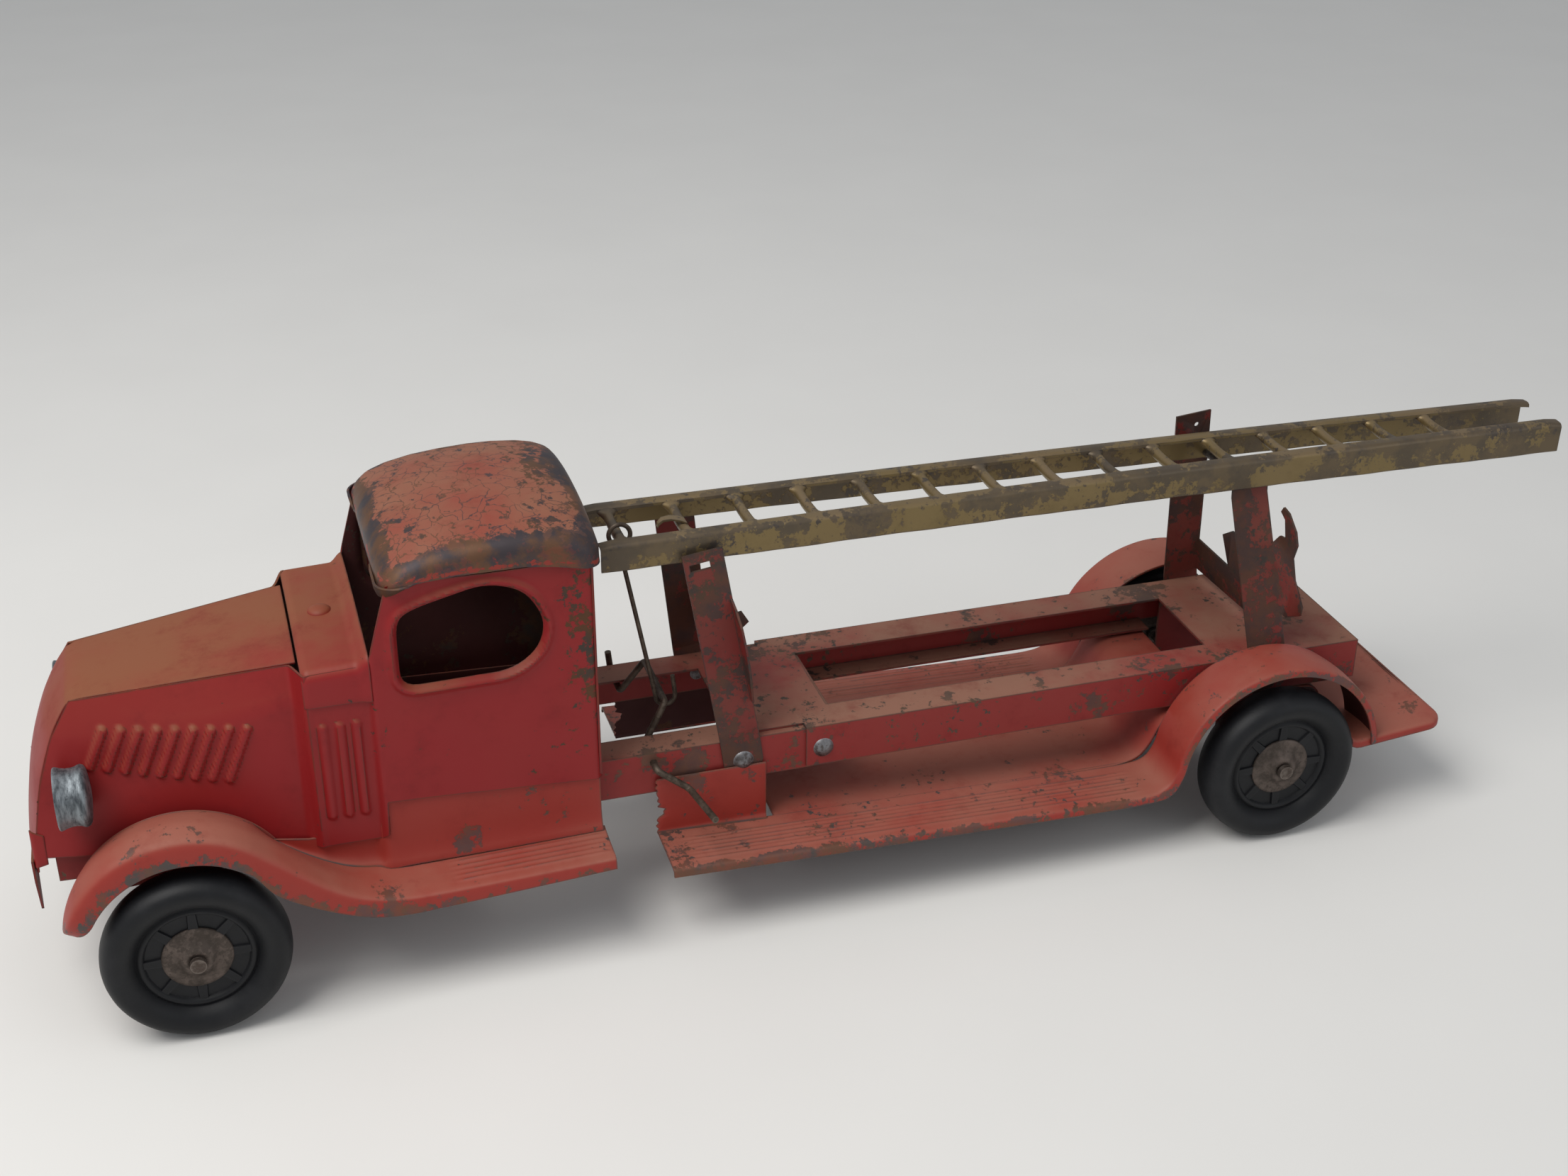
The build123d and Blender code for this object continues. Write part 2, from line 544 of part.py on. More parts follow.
def lift_link():
    """The wire from the first rung to the crank: an eye round the rung, a hook round the throw."""
    eye_x = LADDER_X0 + rung_x(0)
    eye_z = LADDER_TOP_AT_PIVOT + (PIVOT[0] - eye_x) * tan(radians(LADDER_TILT)) - RUNG_R
    eye = Pos(eye_x, 0, eye_z) * Rot(90, 0, 0) * Torus(EYE_R, LINK_WIRE_R)
    hook_x, hook_z = HOOK_CENTRE
    start = (eye_x - 0.5, eye_z - EYE_R)
    run, rise = start[0] - hook_x, start[1] - hook_z
    meets = degrees(atan2(rise, run) + acos(HOOK_R / hypot(run, rise)))
    bend = CenterArc(HOOK_CENTRE, HOOK_R, meets, 365.0 - meets)
    tail = Line(bend @ 1, bend @ 1 + 9.0 * (bend % 1))
    path = Plane.XZ * Wire([*Line(start, bend @ 0).edges(), *bend.edges(), *tail.edges()])
    section = Plane(origin=path @ 0, z_dir=path % 0) * Circle(LINK_WIRE_R)
    link = eye + sweep(section, path=path)
    return Pos(0, -9.0, eye_z) * Rot(-4.2, 0, 0) * Pos(0, 0, -eye_z) * link


# ---- assembly ----------------------------------------------------------------------------
def wheel_nodes():
    """Tyre and two hub plates for each of the four wheels."""
    nodes = {}
    for end, x in (("front", 0.0), ("rear", WHEELBASE)):
        for hand, side in (("left", -1), ("right", 1)):
            nodes[f"tyre_{end}_{hand}"] = tyre(x, side)
            nodes[f"hub_outer_{end}_{hand}"] = hub_plate(x, side, 1)
            nodes[f"hub_inner_{end}_{hand}"] = hub_plate(x, side, -1)
    return nodes


def handed_nodes():
    """Pieces made in left and right versions."""
    makers = {"body_side": body_side, "headlamp": headlamp, "front_wing": front_wing, "rear_wing": rear_wing}
    nodes = {}
    for name, maker in makers.items():
        piece = maker()
        nodes[f"{name}_left"] = piece
        nodes[f"{name}_right"] = other_side(piece)
    return nodes


def all_nodes():
    nodes = {
        "front_frame": front_frame(),
        "rear_frame": rear_frame(),
        "front_axle_hanger": axle_hanger(0.0, HANGER_HALF, FRAME_TOP - SHEET),
        "rear_axle_hanger": axle_hanger(WHEELBASE, HANGER_HALF, REAR_FRAME_TOP - SHEET),
        "front_axle": axle(0.0),
        "rear_axle": axle(WHEELBASE),
        "hood_panel": hood_panel(),
        "cowl_cap": cowl_cap(),
        "cowl_rivet": cowl_rivet(),
        "cab_back": cab_back(),
        "cab_roof": cab_roof(),
        "front_apron": front_apron(),
        "rear_platform": rear_platform(),
        "front_bracket": front_bracket(),
        "rear_bracket": rear_bracket(),
        "front_bracket_rivets": rivets(FRONT_FOOT_X, FRAME_HALF + LAP + SHEET),
        "frame_rivets": rivets(JOINT_RIVET_X, REAR_FRAME_HALF),
        "rear_bracket_rivets": rivets(REAR_FOOT_X, REAR_FRAME_HALF + LAP + SHEET),
        "ladder": ladder(),
        "ladder_pin": ladder_pin(),
        "lift_crank": lift_crank(),
        "lift_link": lift_link(),
    }
    nodes.update(handed_nodes())
    nodes.update(wheel_nodes())
    return nodes


def main():
    os.makedirs("parts", exist_ok=True)
    for name, shape in all_nodes().items():
        export_step(Pos(-MID_X, 0, 0) * shape, f"parts/{name}.step")


main()
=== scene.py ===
"""Visual model of a pressed-steel toy ladder truck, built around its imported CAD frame.

Sizes are in millimetres from the ground point under the front axle (x rearward, z up, the crank
on the -y side) until a mesh is made; meshes are in metres in the row frame.
"""

from __future__ import annotations

import json
import logging
import math
from dataclasses import dataclass
from enum import Enum
from typing import Callable, Sequence, Union

import bmesh
import bpy
import numpy as np
from mathutils import Matrix, Vector
from mathutils.geometry import delaunay_2d_cdt

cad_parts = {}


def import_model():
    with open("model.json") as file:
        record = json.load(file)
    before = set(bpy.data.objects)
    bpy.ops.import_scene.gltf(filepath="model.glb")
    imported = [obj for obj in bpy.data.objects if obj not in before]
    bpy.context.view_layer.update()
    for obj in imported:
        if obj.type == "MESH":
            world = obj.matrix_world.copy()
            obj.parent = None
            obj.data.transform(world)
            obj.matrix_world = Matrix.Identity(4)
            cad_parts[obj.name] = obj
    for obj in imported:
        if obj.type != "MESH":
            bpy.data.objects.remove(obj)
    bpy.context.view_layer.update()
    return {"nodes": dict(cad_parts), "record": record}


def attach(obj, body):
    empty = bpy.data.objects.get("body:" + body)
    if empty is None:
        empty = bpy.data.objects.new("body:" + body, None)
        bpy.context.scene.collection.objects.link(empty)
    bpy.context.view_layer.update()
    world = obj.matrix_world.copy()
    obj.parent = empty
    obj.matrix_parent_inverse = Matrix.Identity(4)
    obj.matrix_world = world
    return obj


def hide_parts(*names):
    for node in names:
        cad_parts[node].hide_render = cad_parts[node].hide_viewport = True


LOG = logging.getLogger("ladder_truck")
MM = 0.001
DATUM_X = -0.29775
Value = Union[float, int, str, Sequence[float], bpy.types.NodeSocket, bpy.types.Material,
              bpy.types.Object]
Field = Callable[[np.ndarray, np.ndarray], np.ndarray]


class Side(Enum):
    """Which side of the truck a piece is on, as the sign of y."""

    LEFT = -1
    RIGHT = 1

    @property
    def word(self) -> str:
        """The side's name in node names."""
        return self.name.lower()


class Gauge(Enum):
    """Sheet thicknesses in millimetres."""

    BODY = 1.0
    LAMP = 0.7


# ---- curves and numbers -------------------------------------------------------------------
def ease(t: np.ndarray) -> np.ndarray:
    """Smooth step of values clipped to the range 0 to 1."""
    t = np.clip(t, 0.0, 1.0)
    return t * t * (3.0 - 2.0 * t)


def softer_low(a: np.ndarray, b: np.ndarray, radius: float) -> np.ndarray:
    """The lower of two fields, rounded where they cross.

    Args:
        a: First field.
        b: Second field.
        radius: Half breadth of the rounded zone.

    Returns:
        The blended field.
    """
    mix = np.clip(0.5 + 0.5 * (b - a) / radius, 0.0, 1.0)
    return b * (1.0 - mix) + a * mix - radius * mix * (1.0 - mix) * 0.5


def resample(points: Sequence[Sequence[float]], count: int) -> np.ndarray:
    """Evenly spaced points along a smooth line through the given ones.

    Args:
        points: Corner points, two or three numbers each.
        count: How many points to return.

    Returns:
        An array of count points.
    """
    base = np.asarray(points, float)
    padded = np.vstack([2 * base[0] - base[1], base, 2 * base[-1] - base[-2]])
    rows = []
    for i in range(1, len(padded) - 2):
        p0, p1, p2, p3 = padded[i - 1:i + 3]
        for t in np.linspace(0, 1, 24, endpoint=False):
            rows.append(0.5 * (2 * p1 + (p2 - p0) * t + (2 * p0 - 5 * p1 + 4 * p2 - p3) * t ** 2
                               + (3 * p1 - p0 - 3 * p2 + p3) * t ** 3))
    line = np.vstack([*rows, base[-1]])
    run = np.concatenate([[0], np.cumsum(np.linalg.norm(np.diff(line, axis=0), axis=1))])
    at = np.linspace(0, run[-1], count)
    return np.stack([np.interp(at, run, line[:, k]) for k in range(line.shape[1])], 1)


def arc(centre: tuple[float, float], radius: float, start: float, end: float,
        count: int) -> list[tuple[float, float]]:
    """Points on a circle between two angles.

    Args:
        centre: The circle's centre.
        radius: Its radius.
        start: First angle in degrees.
        end: Last angle in degrees.
        count: How many points.

    Returns:
        The points in order.
    """
    angles = np.radians(np.linspace(start, end, count))
    return [(centre[0] + radius * math.cos(a), centre[1] + radius * math.sin(a)) for a in angles]


def distance_to_loop(points: np.ndarray, loop: np.ndarray) -> np.ndarray:
    """Signed distance from points to a closed loop, negative inside.

    Args:
        points: An (n, 2) array.
        loop: The loop's corners.

    Returns:
        One distance for each point.
    """
    best = np.full(len(points), 1e9)
    inside = np.zeros(len(points), bool)
    for a, b in zip(loop, np.roll(loop, -1, axis=0)):
        edge = b - a
        t = np.clip(((points - a) @ edge) / (edge @ edge), 0, 1)
        best = np.minimum(best, np.linalg.norm(points - a - t[:, None] * edge, axis=1))
        crosses = (a[1] > points[:, 1]) != (b[1] > points[:, 1])
        slope = (b[0] - a[0]) / (b[1] - a[1] if b[1] != a[1] else 1e-9)
        inside ^= crosses & (points[:, 0] < a[0] + slope * (points[:, 1] - a[1]))
    return np.where(inside, -best, best)


def rounded_loop(corners: Sequence[tuple[float, float]], radius: float,
                 steps: int = 6) -> np.ndarray:
    """A closed loop with each corner cut by a smooth bend.

    Args:
        corners: The sharp corners.
        radius: How far from each corner its bend starts.
        steps: Points in a bend.

    Returns:
        The loop's points.
    """
    loop = np.asarray(corners, float)
    rows = []
    for before, at, after in zip(np.roll(loop, 1, axis=0), loop, np.roll(loop, -1, axis=0)):
        reach_in = min(radius, 0.48 * np.linalg.norm(before - at))
        reach_out = min(radius, 0.48 * np.linalg.norm(after - at))
        start = at + (before - at) / np.linalg.norm(before - at) * reach_in
        end = at + (after - at) / np.linalg.norm(after - at) * reach_out
        for t in np.linspace(0, 1, steps):
            rows.append((1 - t) ** 2 * start + 2 * t * (1 - t) * at + t ** 2 * end)
    return np.array(rows)


# ---- meshes -------------------------------------------------------------------------------
def new_piece(name: str, points: np.ndarray, faces: Sequence[Sequence[int]]) -> bpy.types.Object:
    """An object from points in truck millimetres.

    Args:
        name: The piece's name.
        points: An (n, 3) array.
        faces: Corner indices of each face.

    Returns:
        The linked object, with its place in its mesh.
    """
    metres = np.asarray(points, float) * MM
    metres[:, 0] += DATUM_X
    mesh = bpy.data.meshes.new(name)
    mesh.from_pydata(metres.tolist(), [], [list(map(int, face)) for face in faces])
    mesh.validate()
    obj = bpy.data.objects.new(name, mesh)
    bpy.context.scene.collection.objects.link(obj)
    return obj


def merge(obj: bpy.types.Object, closed: bool) -> bpy.types.Object:
    """Merge doubled points and make all normals agree, outwards on a closed piece.

    Args:
        obj: The piece.
        closed: Whether to turn its normals outwards.

    Returns:
        The same object.
    """
    work = bmesh.new()
    work.from_mesh(obj.data)
    bmesh.ops.remove_doubles(work, verts=work.verts, dist=0.02 * MM)
    if closed:
        bmesh.ops.recalc_face_normals(work, faces=work.faces)
    work.to_mesh(obj.data)
    work.free()
    return obj


def face_towards(obj: bpy.types.Object, direction: Sequence[float]) -> bpy.types.Object:
    """Make a sheet's normals agree with a direction, on the whole.

    Args:
        obj: The sheet.
        direction: Where its normals are to point.

    Returns:
        The same object.
    """
    merge(obj, closed=True)
    total = sum((Vector(p.normal) * p.area for p in obj.data.polygons), Vector())
    if total.dot(Vector(direction)) < 0:
        obj.data.flip_normals()
    return obj


def settle(obj: bpy.types.Object, flat_angle: float = 40.0) -> bpy.types.Object:
    """Apply an object's modifiers and shade it smooth up to an angle in degrees.

    Args:
        obj: The piece.
        flat_angle: Edges sharper than this many degrees stay sharp.

    Returns:
        The same object, with no modifiers.
    """
    graph = bpy.context.evaluated_depsgraph_get()
    mesh = bpy.data.meshes.new_from_object(obj.evaluated_get(graph))
    obj.modifiers.clear()
    obj.data = mesh
    mesh.shade_smooth()
    mesh.set_sharp_from_angle(angle=math.radians(flat_angle))
    return obj


def thicken(obj: bpy.types.Object, gauge: Gauge, rounding: float = 0.3) -> bpy.types.Object:
    """Give a sheet its thickness behind its normals and round its cut edges.

    Args:
        obj: A sheet whose normals point outwards.
        gauge: The thickness to give.
        rounding: Radius on the cut edges in millimetres.

    Returns:
        The same object, closed.
    """
    obj.data.materials.append(None)
    obj.data.materials.append(None)
    wall = obj.modifiers.new("wall", "SOLIDIFY")
    wall.thickness = gauge.value * MM
    wall.offset = -1.0
    # the inner shell takes the second slot, the dark painted-shade finish for the sheet's hidden
    # side
    wall.material_offset = 1
    if rounding:
        edge = obj.modifiers.new("edge", "BEVEL")
        edge.width = rounding * MM
        edge.segments = 2
        edge.limit_method = "ANGLE"
        edge.angle_limit = math.radians(50)
    return settle(obj)


def grid_faces(rows: int, columns: int, wrap: bool = False) -> list[tuple[int, int, int, int]]:
    """Quads of a grid whose points are stored row by row, its columns joined up if wrapped.

    Args:
        rows: How many rows.
        columns: How many points in a row.
        wrap: Whether the last column joins the first.

    Returns:
        The corner indices of each quad.
    """
    last = columns if wrap else columns - 1
    quads = []
    for r in range(rows - 1):
        for c in range(last):
            d = (c + 1) % columns
            quads.append((r * columns + c, r * columns + d,
                          (r + 1) * columns + d, (r + 1) * columns + c))
    return quads


def lofted(name: str, sections: Sequence[np.ndarray], wrap: bool = False,
           caps: bool = False) -> bpy.types.Object:
    """A skin over sections of equal length.

    Args:
        name: The piece's name.
        sections: Arrays of points.
        wrap: Whether each section is a closed loop.
        caps: Whether to close the two ends.

    Returns:
        The new object.
    """
    rows, columns = len(sections), len(sections[0])
    faces: list[Sequence[int]] = list(grid_faces(rows, columns, wrap))
    if caps:
        faces.append(tuple(reversed(range(columns))))
        faces.append(tuple(range((rows - 1) * columns, rows * columns)))
    return new_piece(name, np.vstack(sections), faces)


def turned(name: str, profile: Sequence[tuple[float, float]], axis: str, centre: Sequence[float],
           steps: int = 96, wobble: float = 0.0) -> bpy.types.Object:
    """A closed profile turned about an axis.

    Args:
        name: The piece's name.
        profile: (radius, distance along the axis) points of a closed loop.
        axis: "x" or "y".
        centre: The axis's origin.
        steps: Segments round the axis.
        wobble: Size of slight dents in millimetres.

    Returns:
        The closed piece.
    """
    loop = np.asarray(profile, float)
    sections = []
    for angle in np.linspace(0, 2 * math.pi, steps, endpoint=False):
        dent = wobble * math.sin(3 * angle + 0.7) + 0.6 * wobble * math.sin(7 * angle + 2.0)
        radius = loop[:, 0] + dent * (loop[:, 0] > 1.0)
        u, v = radius * math.cos(angle), radius * math.sin(angle)
        along = loop[:, 1]
        stack = np.stack([along, u, v], 1) if axis == "x" else np.stack([u, along, v], 1)
        sections.append(stack + np.asarray(centre, float))
    sections.append(sections[0])
    return settle(merge(lofted(name, sections, wrap=True), closed=True), 50)


def field_sheet(name: str, loop: np.ndarray, holes: Sequence[np.ndarray], pitch: float,
                breadth: Field) -> bpy.types.Object:
    """A sheet standing over an (x, z) outline, its half breadth given by a field.

    Args:
        name: The piece's name.
        loop: The outline's corners.
        holes: Loops cut out of it.
        pitch: Spacing of its points.
        breadth: Half breadth for arrays of x and z.

    Returns:
        The sheet on the left side, facing outwards.
    """
    points: list[np.ndarray] = []
    edges: list[tuple[int, int]] = []
    for ring in (loop, *holes):
        dense = []
        for a, b in zip(ring, np.roll(ring, -1, axis=0)):
            count = max(1, int(np.linalg.norm(b - a) / pitch))
            dense += [a + (b - a) * k / count for k in range(count)]
        first = len(points)
        points += dense
        edges += [(first + k, first + (k + 1) % len(dense)) for k in range(len(dense))]
    low, high = loop.min(0), loop.max(0)
    mesh_x, mesh_z = np.meshgrid(np.arange(low[0], high[0], pitch),
                                 np.arange(low[1], high[1], pitch))
    inner = np.stack([mesh_x.ravel(), mesh_z.ravel()], 1)
    keep = distance_to_loop(inner, loop) < -0.6 * pitch
    for hole in holes:
        keep &= distance_to_loop(inner, hole) > 0.6 * pitch
    points += list(inner[keep])
    result = delaunay_2d_cdt([Vector(p) for p in points], edges, [], 0, 1e-5)
    flat = np.array([tuple(p) for p in result[0]])
    triangles = np.array([tuple(f) for f in result[2]])
    centres = flat[triangles].mean(1)
    used = distance_to_loop(centres, loop) < 0
    for hole in holes:
        used &= distance_to_loop(centres, hole) > 0
    solid = np.stack([flat[:, 0], -breadth(flat[:, 0], flat[:, 1]), flat[:, 1]], 1)
    return face_towards(drop_loose(new_piece(name, solid, triangles[used])), (0, -1, 0))


def set_wear(obj: bpy.types.Object, values: np.ndarray) -> bpy.types.Object:
    """Store how rubbed each point is, for the enamel to read.

    Args:
        obj: The piece.
        values: One number from 0 to 1 for each point.

    Returns:
        The same object.
    """
    layer = obj.data.attributes.new("rubbed", "FLOAT", "POINT")
    layer.data.foreach_set("value", np.clip(values, 0, 1).astype(np.float32))
    return obj


def places(obj: bpy.types.Object) -> np.ndarray:
    """An object's points in truck millimetres.

    Args:
        obj: The piece.

    Returns:
        An (n, 3) array.
    """
    flat = np.empty(3 * len(obj.data.vertices), np.float32)
    obj.data.vertices.foreach_get("co", flat)
    points = flat.reshape(-1, 3).astype(float)
    points[:, 0] -= DATUM_X
    return points / MM


def drop_loose(obj: bpy.types.Object) -> bpy.types.Object:
    """Remove points that no face uses.

    Args:
        obj: The piece.

    Returns:
        The same object.
    """
    work = bmesh.new()
    work.from_mesh(obj.data)
    bmesh.ops.delete(work, geom=[v for v in work.verts if not v.link_faces], context="VERTS")
    work.to_mesh(obj.data)
    work.free()
    return obj


def joined(name: str, pieces: Sequence[bpy.types.Object]) -> bpy.types.Object:
    """One object holding the meshes of several, which are removed.

    Args:
        name: Name of the result.
        pieces: The objects to join.

    Returns:
        The new object.
    """
    work = bmesh.new()
    for obj in pieces:
        work.from_mesh(obj.data)
    mesh = bpy.data.meshes.new(name)
    work.to_mesh(mesh)
    work.free()
    for obj in pieces:
        bpy.data.objects.remove(obj)
    whole = bpy.data.objects.new(name, mesh)
    bpy.context.scene.collection.objects.link(whole)
    return settle(whole)


def opposite(obj: bpy.types.Object, name: str) -> bpy.types.Object:
    """The same piece on the other side of the truck's centre plane.

    Args:
        obj: The piece to mirror.
        name: Name of the result.

    Returns:
        The new object.
    """
    mesh = obj.data.copy()
    mesh.transform(Matrix.Scale(-1, 4, (0, 1, 0)))
    mesh.flip_normals()
    twin = bpy.data.objects.new(name, mesh)
    bpy.context.scene.collection.objects.link(twin)
    return twin


# ---- node trees ---------------------------------------------------------------------------
def add_node(tree: bpy.types.NodeTree, kind: str,
             inputs: dict[Union[str, int], Value] | None = None,
             **settings: object) -> bpy.types.Node:
    """Add a node, set its properties and fill or link its inputs.

    Args:
        tree: The tree to add to.
        kind: The node's type name.
        inputs: Values or output sockets for its inputs, by name or position.
        **settings: Properties of the node.

    Returns:
        The new node.
    """
    node = tree.nodes.new(kind)
    for key, setting in settings.items():
        setattr(node, key, setting)
    for key, value in (inputs or {}).items():
        socket = node.inputs[key]
        if isinstance(value, bpy.types.NodeSocket):
            tree.links.new(value, socket)
        else:
            socket.default_value = value
    return node


def maths(tree: bpy.types.NodeTree, operation: str, first: Value, second: Value = 0.0,
          clamp: bool = False) -> bpy.types.NodeSocket:
    """The output of a Math node on two values."""
    return add_node(tree, "ShaderNodeMath", {0: first, 1: second}, operation=operation,
                    use_clamp=clamp).outputs[0]


def blended(tree: bpy.types.NodeTree, factor: Value, first: Value, second: Value,
            mode: str = "MIX") -> bpy.types.NodeSocket:
    """A colour mix by a factor.

    Args:
        tree: The tree to add to.
        factor: Share of the second colour.
        first: First colour.
        second: Second colour.
        mode: How the two are mixed.

    Returns:
        The mixed colour.
    """
    node = add_node(tree, "ShaderNodeMix", data_type="RGBA", blend_type=mode)
    for key, value in ((0, factor), (6, first), (7, second)):
        if isinstance(value, bpy.types.NodeSocket):
            tree.links.new(value, node.inputs[key])
        else:
            node.inputs[key].default_value = value
    return node.outputs[2]


def ranged(tree: bpy.types.NodeTree, value: Value, low: Value, high: Value) -> bpy.types.NodeSocket:
    """A value mapped smoothly from the span low to high onto 0 to 1."""
    node = add_node(tree, "ShaderNodeMapRange", {"Value": value, "From Min": low, "From Max": high},
                    interpolation_type="SMOOTHSTEP")
    return node.outputs[0]


def noise(tree: bpy.types.NodeTree, place: Value, scale: Value, detail: float = 4.0,
          rough: float = 0.6, seed: float = 0.0) -> bpy.types.NodeSocket:
    """The value of a 4-D noise at a place, its seed kept in the fourth number."""
    node = add_node(tree, "ShaderNodeTexNoise", {"Vector": place, "Scale": scale, "Detail": detail,
                                                 "Roughness": rough, "W": seed},
                    noise_dimensions="4D")
    return node.outputs["Fac"]


def start_group(name: str, inputs: dict[str, float],
                outputs: Sequence[str]) -> tuple[bpy.types.NodeTree, bpy.types.Node,
                                                 bpy.types.Node]:
    """A new shader group with a place input, number inputs and number outputs.

    Args:
        name: The group's name.
        inputs: Default of each number input.
        outputs: Names of the outputs.

    Returns:
        The tree, its input node and its output node.
    """
    tree = bpy.data.node_groups.new(name, "ShaderNodeTree")
    tree.interface.new_socket("Place", in_out="INPUT", socket_type="NodeSocketVector")
    for key, default in inputs.items():
        socket = tree.interface.new_socket(key, in_out="INPUT", socket_type="NodeSocketFloat")
        socket.default_value = default
    for key in outputs:
        tree.interface.new_socket(key, in_out="OUTPUT", socket_type="NodeSocketFloat")
    return tree, tree.nodes.new("NodeGroupInput"), tree.nodes.new("NodeGroupOutput")


class Effects:
    """The shader groups that the finishes share."""

    def __init__(self) -> None:
        """Build every group once."""
        self.rubbed = self._rubbed_edges()
        self.chips = self._chips()
        self.patches = self._patches()
        self.scratches = self._scratches()
        self.grime = self._grime()

    def _rubbed_edges(self) -> bpy.types.NodeTree:
        """Edges and bends rubbed through to the metal.

        Returns:
            The group.
        """
        tree, given, out = start_group("rubbed_edges", {"Reach": 0.0012, "Amount": 1.0,
                                                        "Breakup": 90.0}, ["Mask"])
        bent = add_node(tree, "ShaderNodeBevel", {"Radius": given.outputs["Reach"]}, samples=4)
        true = add_node(tree, "ShaderNodeNewGeometry")
        dot = add_node(tree, "ShaderNodeVectorMath",
                       {0: bent.outputs[0], 1: true.outputs["Normal"]}, operation="DOT_PRODUCT")
        turn = maths(tree, "SUBTRACT", 1.0, dot.outputs["Value"])
        lift = maths(tree, "MULTIPLY", turn, maths(tree, "MULTIPLY", given.outputs["Amount"], 9.0))
        broken = noise(tree, given.outputs["Place"], given.outputs["Breakup"], 6.0, 0.7)
        total = maths(tree, "MULTIPLY", lift, ranged(tree, broken, 0.3, 0.62))
        tree.links.new(ranged(tree, total, 0.18, 0.75), out.inputs["Mask"])
        return tree

    def _chips(self) -> bpy.types.NodeTree:
        """Small chips and pits where paint has flaked.

        Returns:
            The group.
        """
        tree, given, out = start_group("paint_chips", {"Scale": 160.0, "Cover": 0.5, "Seed": 0.0},
                                       ["Mask"])
        fine = noise(tree, given.outputs["Place"], given.outputs["Scale"], 5.0, 0.65, 1.0)
        tree.links.new(given.outputs["Seed"], fine.node.inputs["W"])
        wide = noise(tree, given.outputs["Place"],
                     maths(tree, "MULTIPLY", given.outputs["Scale"], 0.11), 3.0, 0.5, 4.0)
        total = maths(tree, "ADD", maths(tree, "MULTIPLY", fine, 0.62),
                      maths(tree, "MULTIPLY", wide, 0.38))
        edge = maths(tree, "SUBTRACT", 0.72, maths(tree, "MULTIPLY", given.outputs["Cover"], 0.25))
        tree.links.new(ranged(tree, total, edge, maths(tree, "ADD", edge, 0.035)),
                       out.inputs["Mask"])
        return tree

    def _patches(self) -> bpy.types.NodeTree:
        """Broad crisp-edged patches where the paint has gone, ragged and pitted.

        Returns:
            The group.
        """
        tree, given, out = start_group("worn_patches", {"Scale": 34.0, "Cover": 0.3}, ["Mask"])
        broad = noise(tree, given.outputs["Place"], given.outputs["Scale"], 10.0, 0.72, 8.0)
        pits = noise(tree, given.outputs["Place"], 420.0, 3.0, 0.6, 9.0)
        total = maths(tree, "ADD", broad,
                      maths(tree, "MULTIPLY", maths(tree, "SUBTRACT", pits, 0.5), 0.16))
        edge = maths(tree, "SUBTRACT", 0.70, maths(tree, "MULTIPLY", given.outputs["Cover"], 0.24))
        tree.links.new(ranged(tree, total, edge, maths(tree, "ADD", edge, 0.022)),
                       out.inputs["Mask"])
        return tree

    def _scratches(self) -> bpy.types.NodeTree:
        """Thin random scratches, thicker in some regions.

        Returns:
            The group.
        """
        tree, given, out = start_group("scratches", {"Scale": 130.0, "Width": 0.045, "Cover": 0.5},
                                       ["Mask"])
        warp = add_node(tree, "ShaderNodeTexNoise", {"Vector": given.outputs["Place"],
                                                     "Scale": 60.0, "Detail": 4.0})
        push = add_node(tree, "ShaderNodeVectorMath", {0: warp.outputs["Color"], 3: 0.02},
                        operation="SCALE")
        moved = add_node(tree, "ShaderNodeVectorMath", {0: given.outputs["Place"],
                                                        1: push.outputs[0]}, operation="ADD")
        cells = add_node(tree, "ShaderNodeTexVoronoi", {"Vector": moved.outputs[0],
                                                        "Scale": given.outputs["Scale"],
                                                        "Randomness": 1.0},
                         feature="DISTANCE_TO_EDGE")
        line = maths(tree, "SUBTRACT", 1.0,
                     ranged(tree, cells.outputs["Distance"], 0.0, given.outputs["Width"]))
        patch = noise(tree, given.outputs["Place"], 95.0, 5.0, 0.75, 2.0)
        limit = maths(tree, "SUBTRACT", 0.72, maths(tree, "MULTIPLY", given.outputs["Cover"], 0.25))
        tree.links.new(maths(tree, "MULTIPLY", line,
                             ranged(tree, patch, limit, maths(tree, "ADD", limit, 0.1))),
                       out.inputs["Mask"])
        return tree

    def _grime(self) -> bpy.types.NodeTree:
        """Dust and fading on faces that look up, with soft clouds.

        Returns:
            The group.
        """
        tree, given, out = start_group("settled_grime", {"Scale": 12.0, "Tops": 0.7, "Sides": 0.2},
                                       ["Mask", "Cloud"])
        true = add_node(tree, "ShaderNodeNewGeometry")
        upward = add_node(tree, "ShaderNodeSeparateXYZ", {0: true.outputs["Normal"]}).outputs["Z"]
        cloud = noise(tree, given.outputs["Place"], given.outputs["Scale"], 5.0, 0.6, 3.0)
        tops = maths(tree, "MULTIPLY", ranged(tree, upward, 0.15, 0.9), given.outputs["Tops"])
        level = maths(tree, "ADD", tops, given.outputs["Sides"])
        mask = maths(tree, "MULTIPLY", level, ranged(tree, cloud, 0.22, 0.62), clamp=True)
        tree.links.new(mask, out.inputs["Mask"])
        tree.links.new(cloud, out.inputs["Cloud"])
        return tree


def start_material(name: str) -> tuple[bpy.types.Material, bpy.types.NodeTree, bpy.types.Node,
                                       bpy.types.NodeSocket]:
    """A material with a Principled shader and its object-space place.

    Args:
        name: The material's name.

    Returns:
        The material, its tree, its shader and the place socket.
    """
    material = bpy.data.materials.new(name)
    material.use_nodes = True
    tree = material.node_tree
    tree.nodes.clear()
    shader = tree.nodes.new("ShaderNodeBsdfPrincipled")
    out = tree.nodes.new("ShaderNodeOutputMaterial")
    tree.links.new(shader.outputs[0], out.inputs[0])
    place = add_node(tree, "ShaderNodeTexCoord").outputs["Object"]
    return material, tree, shader, place


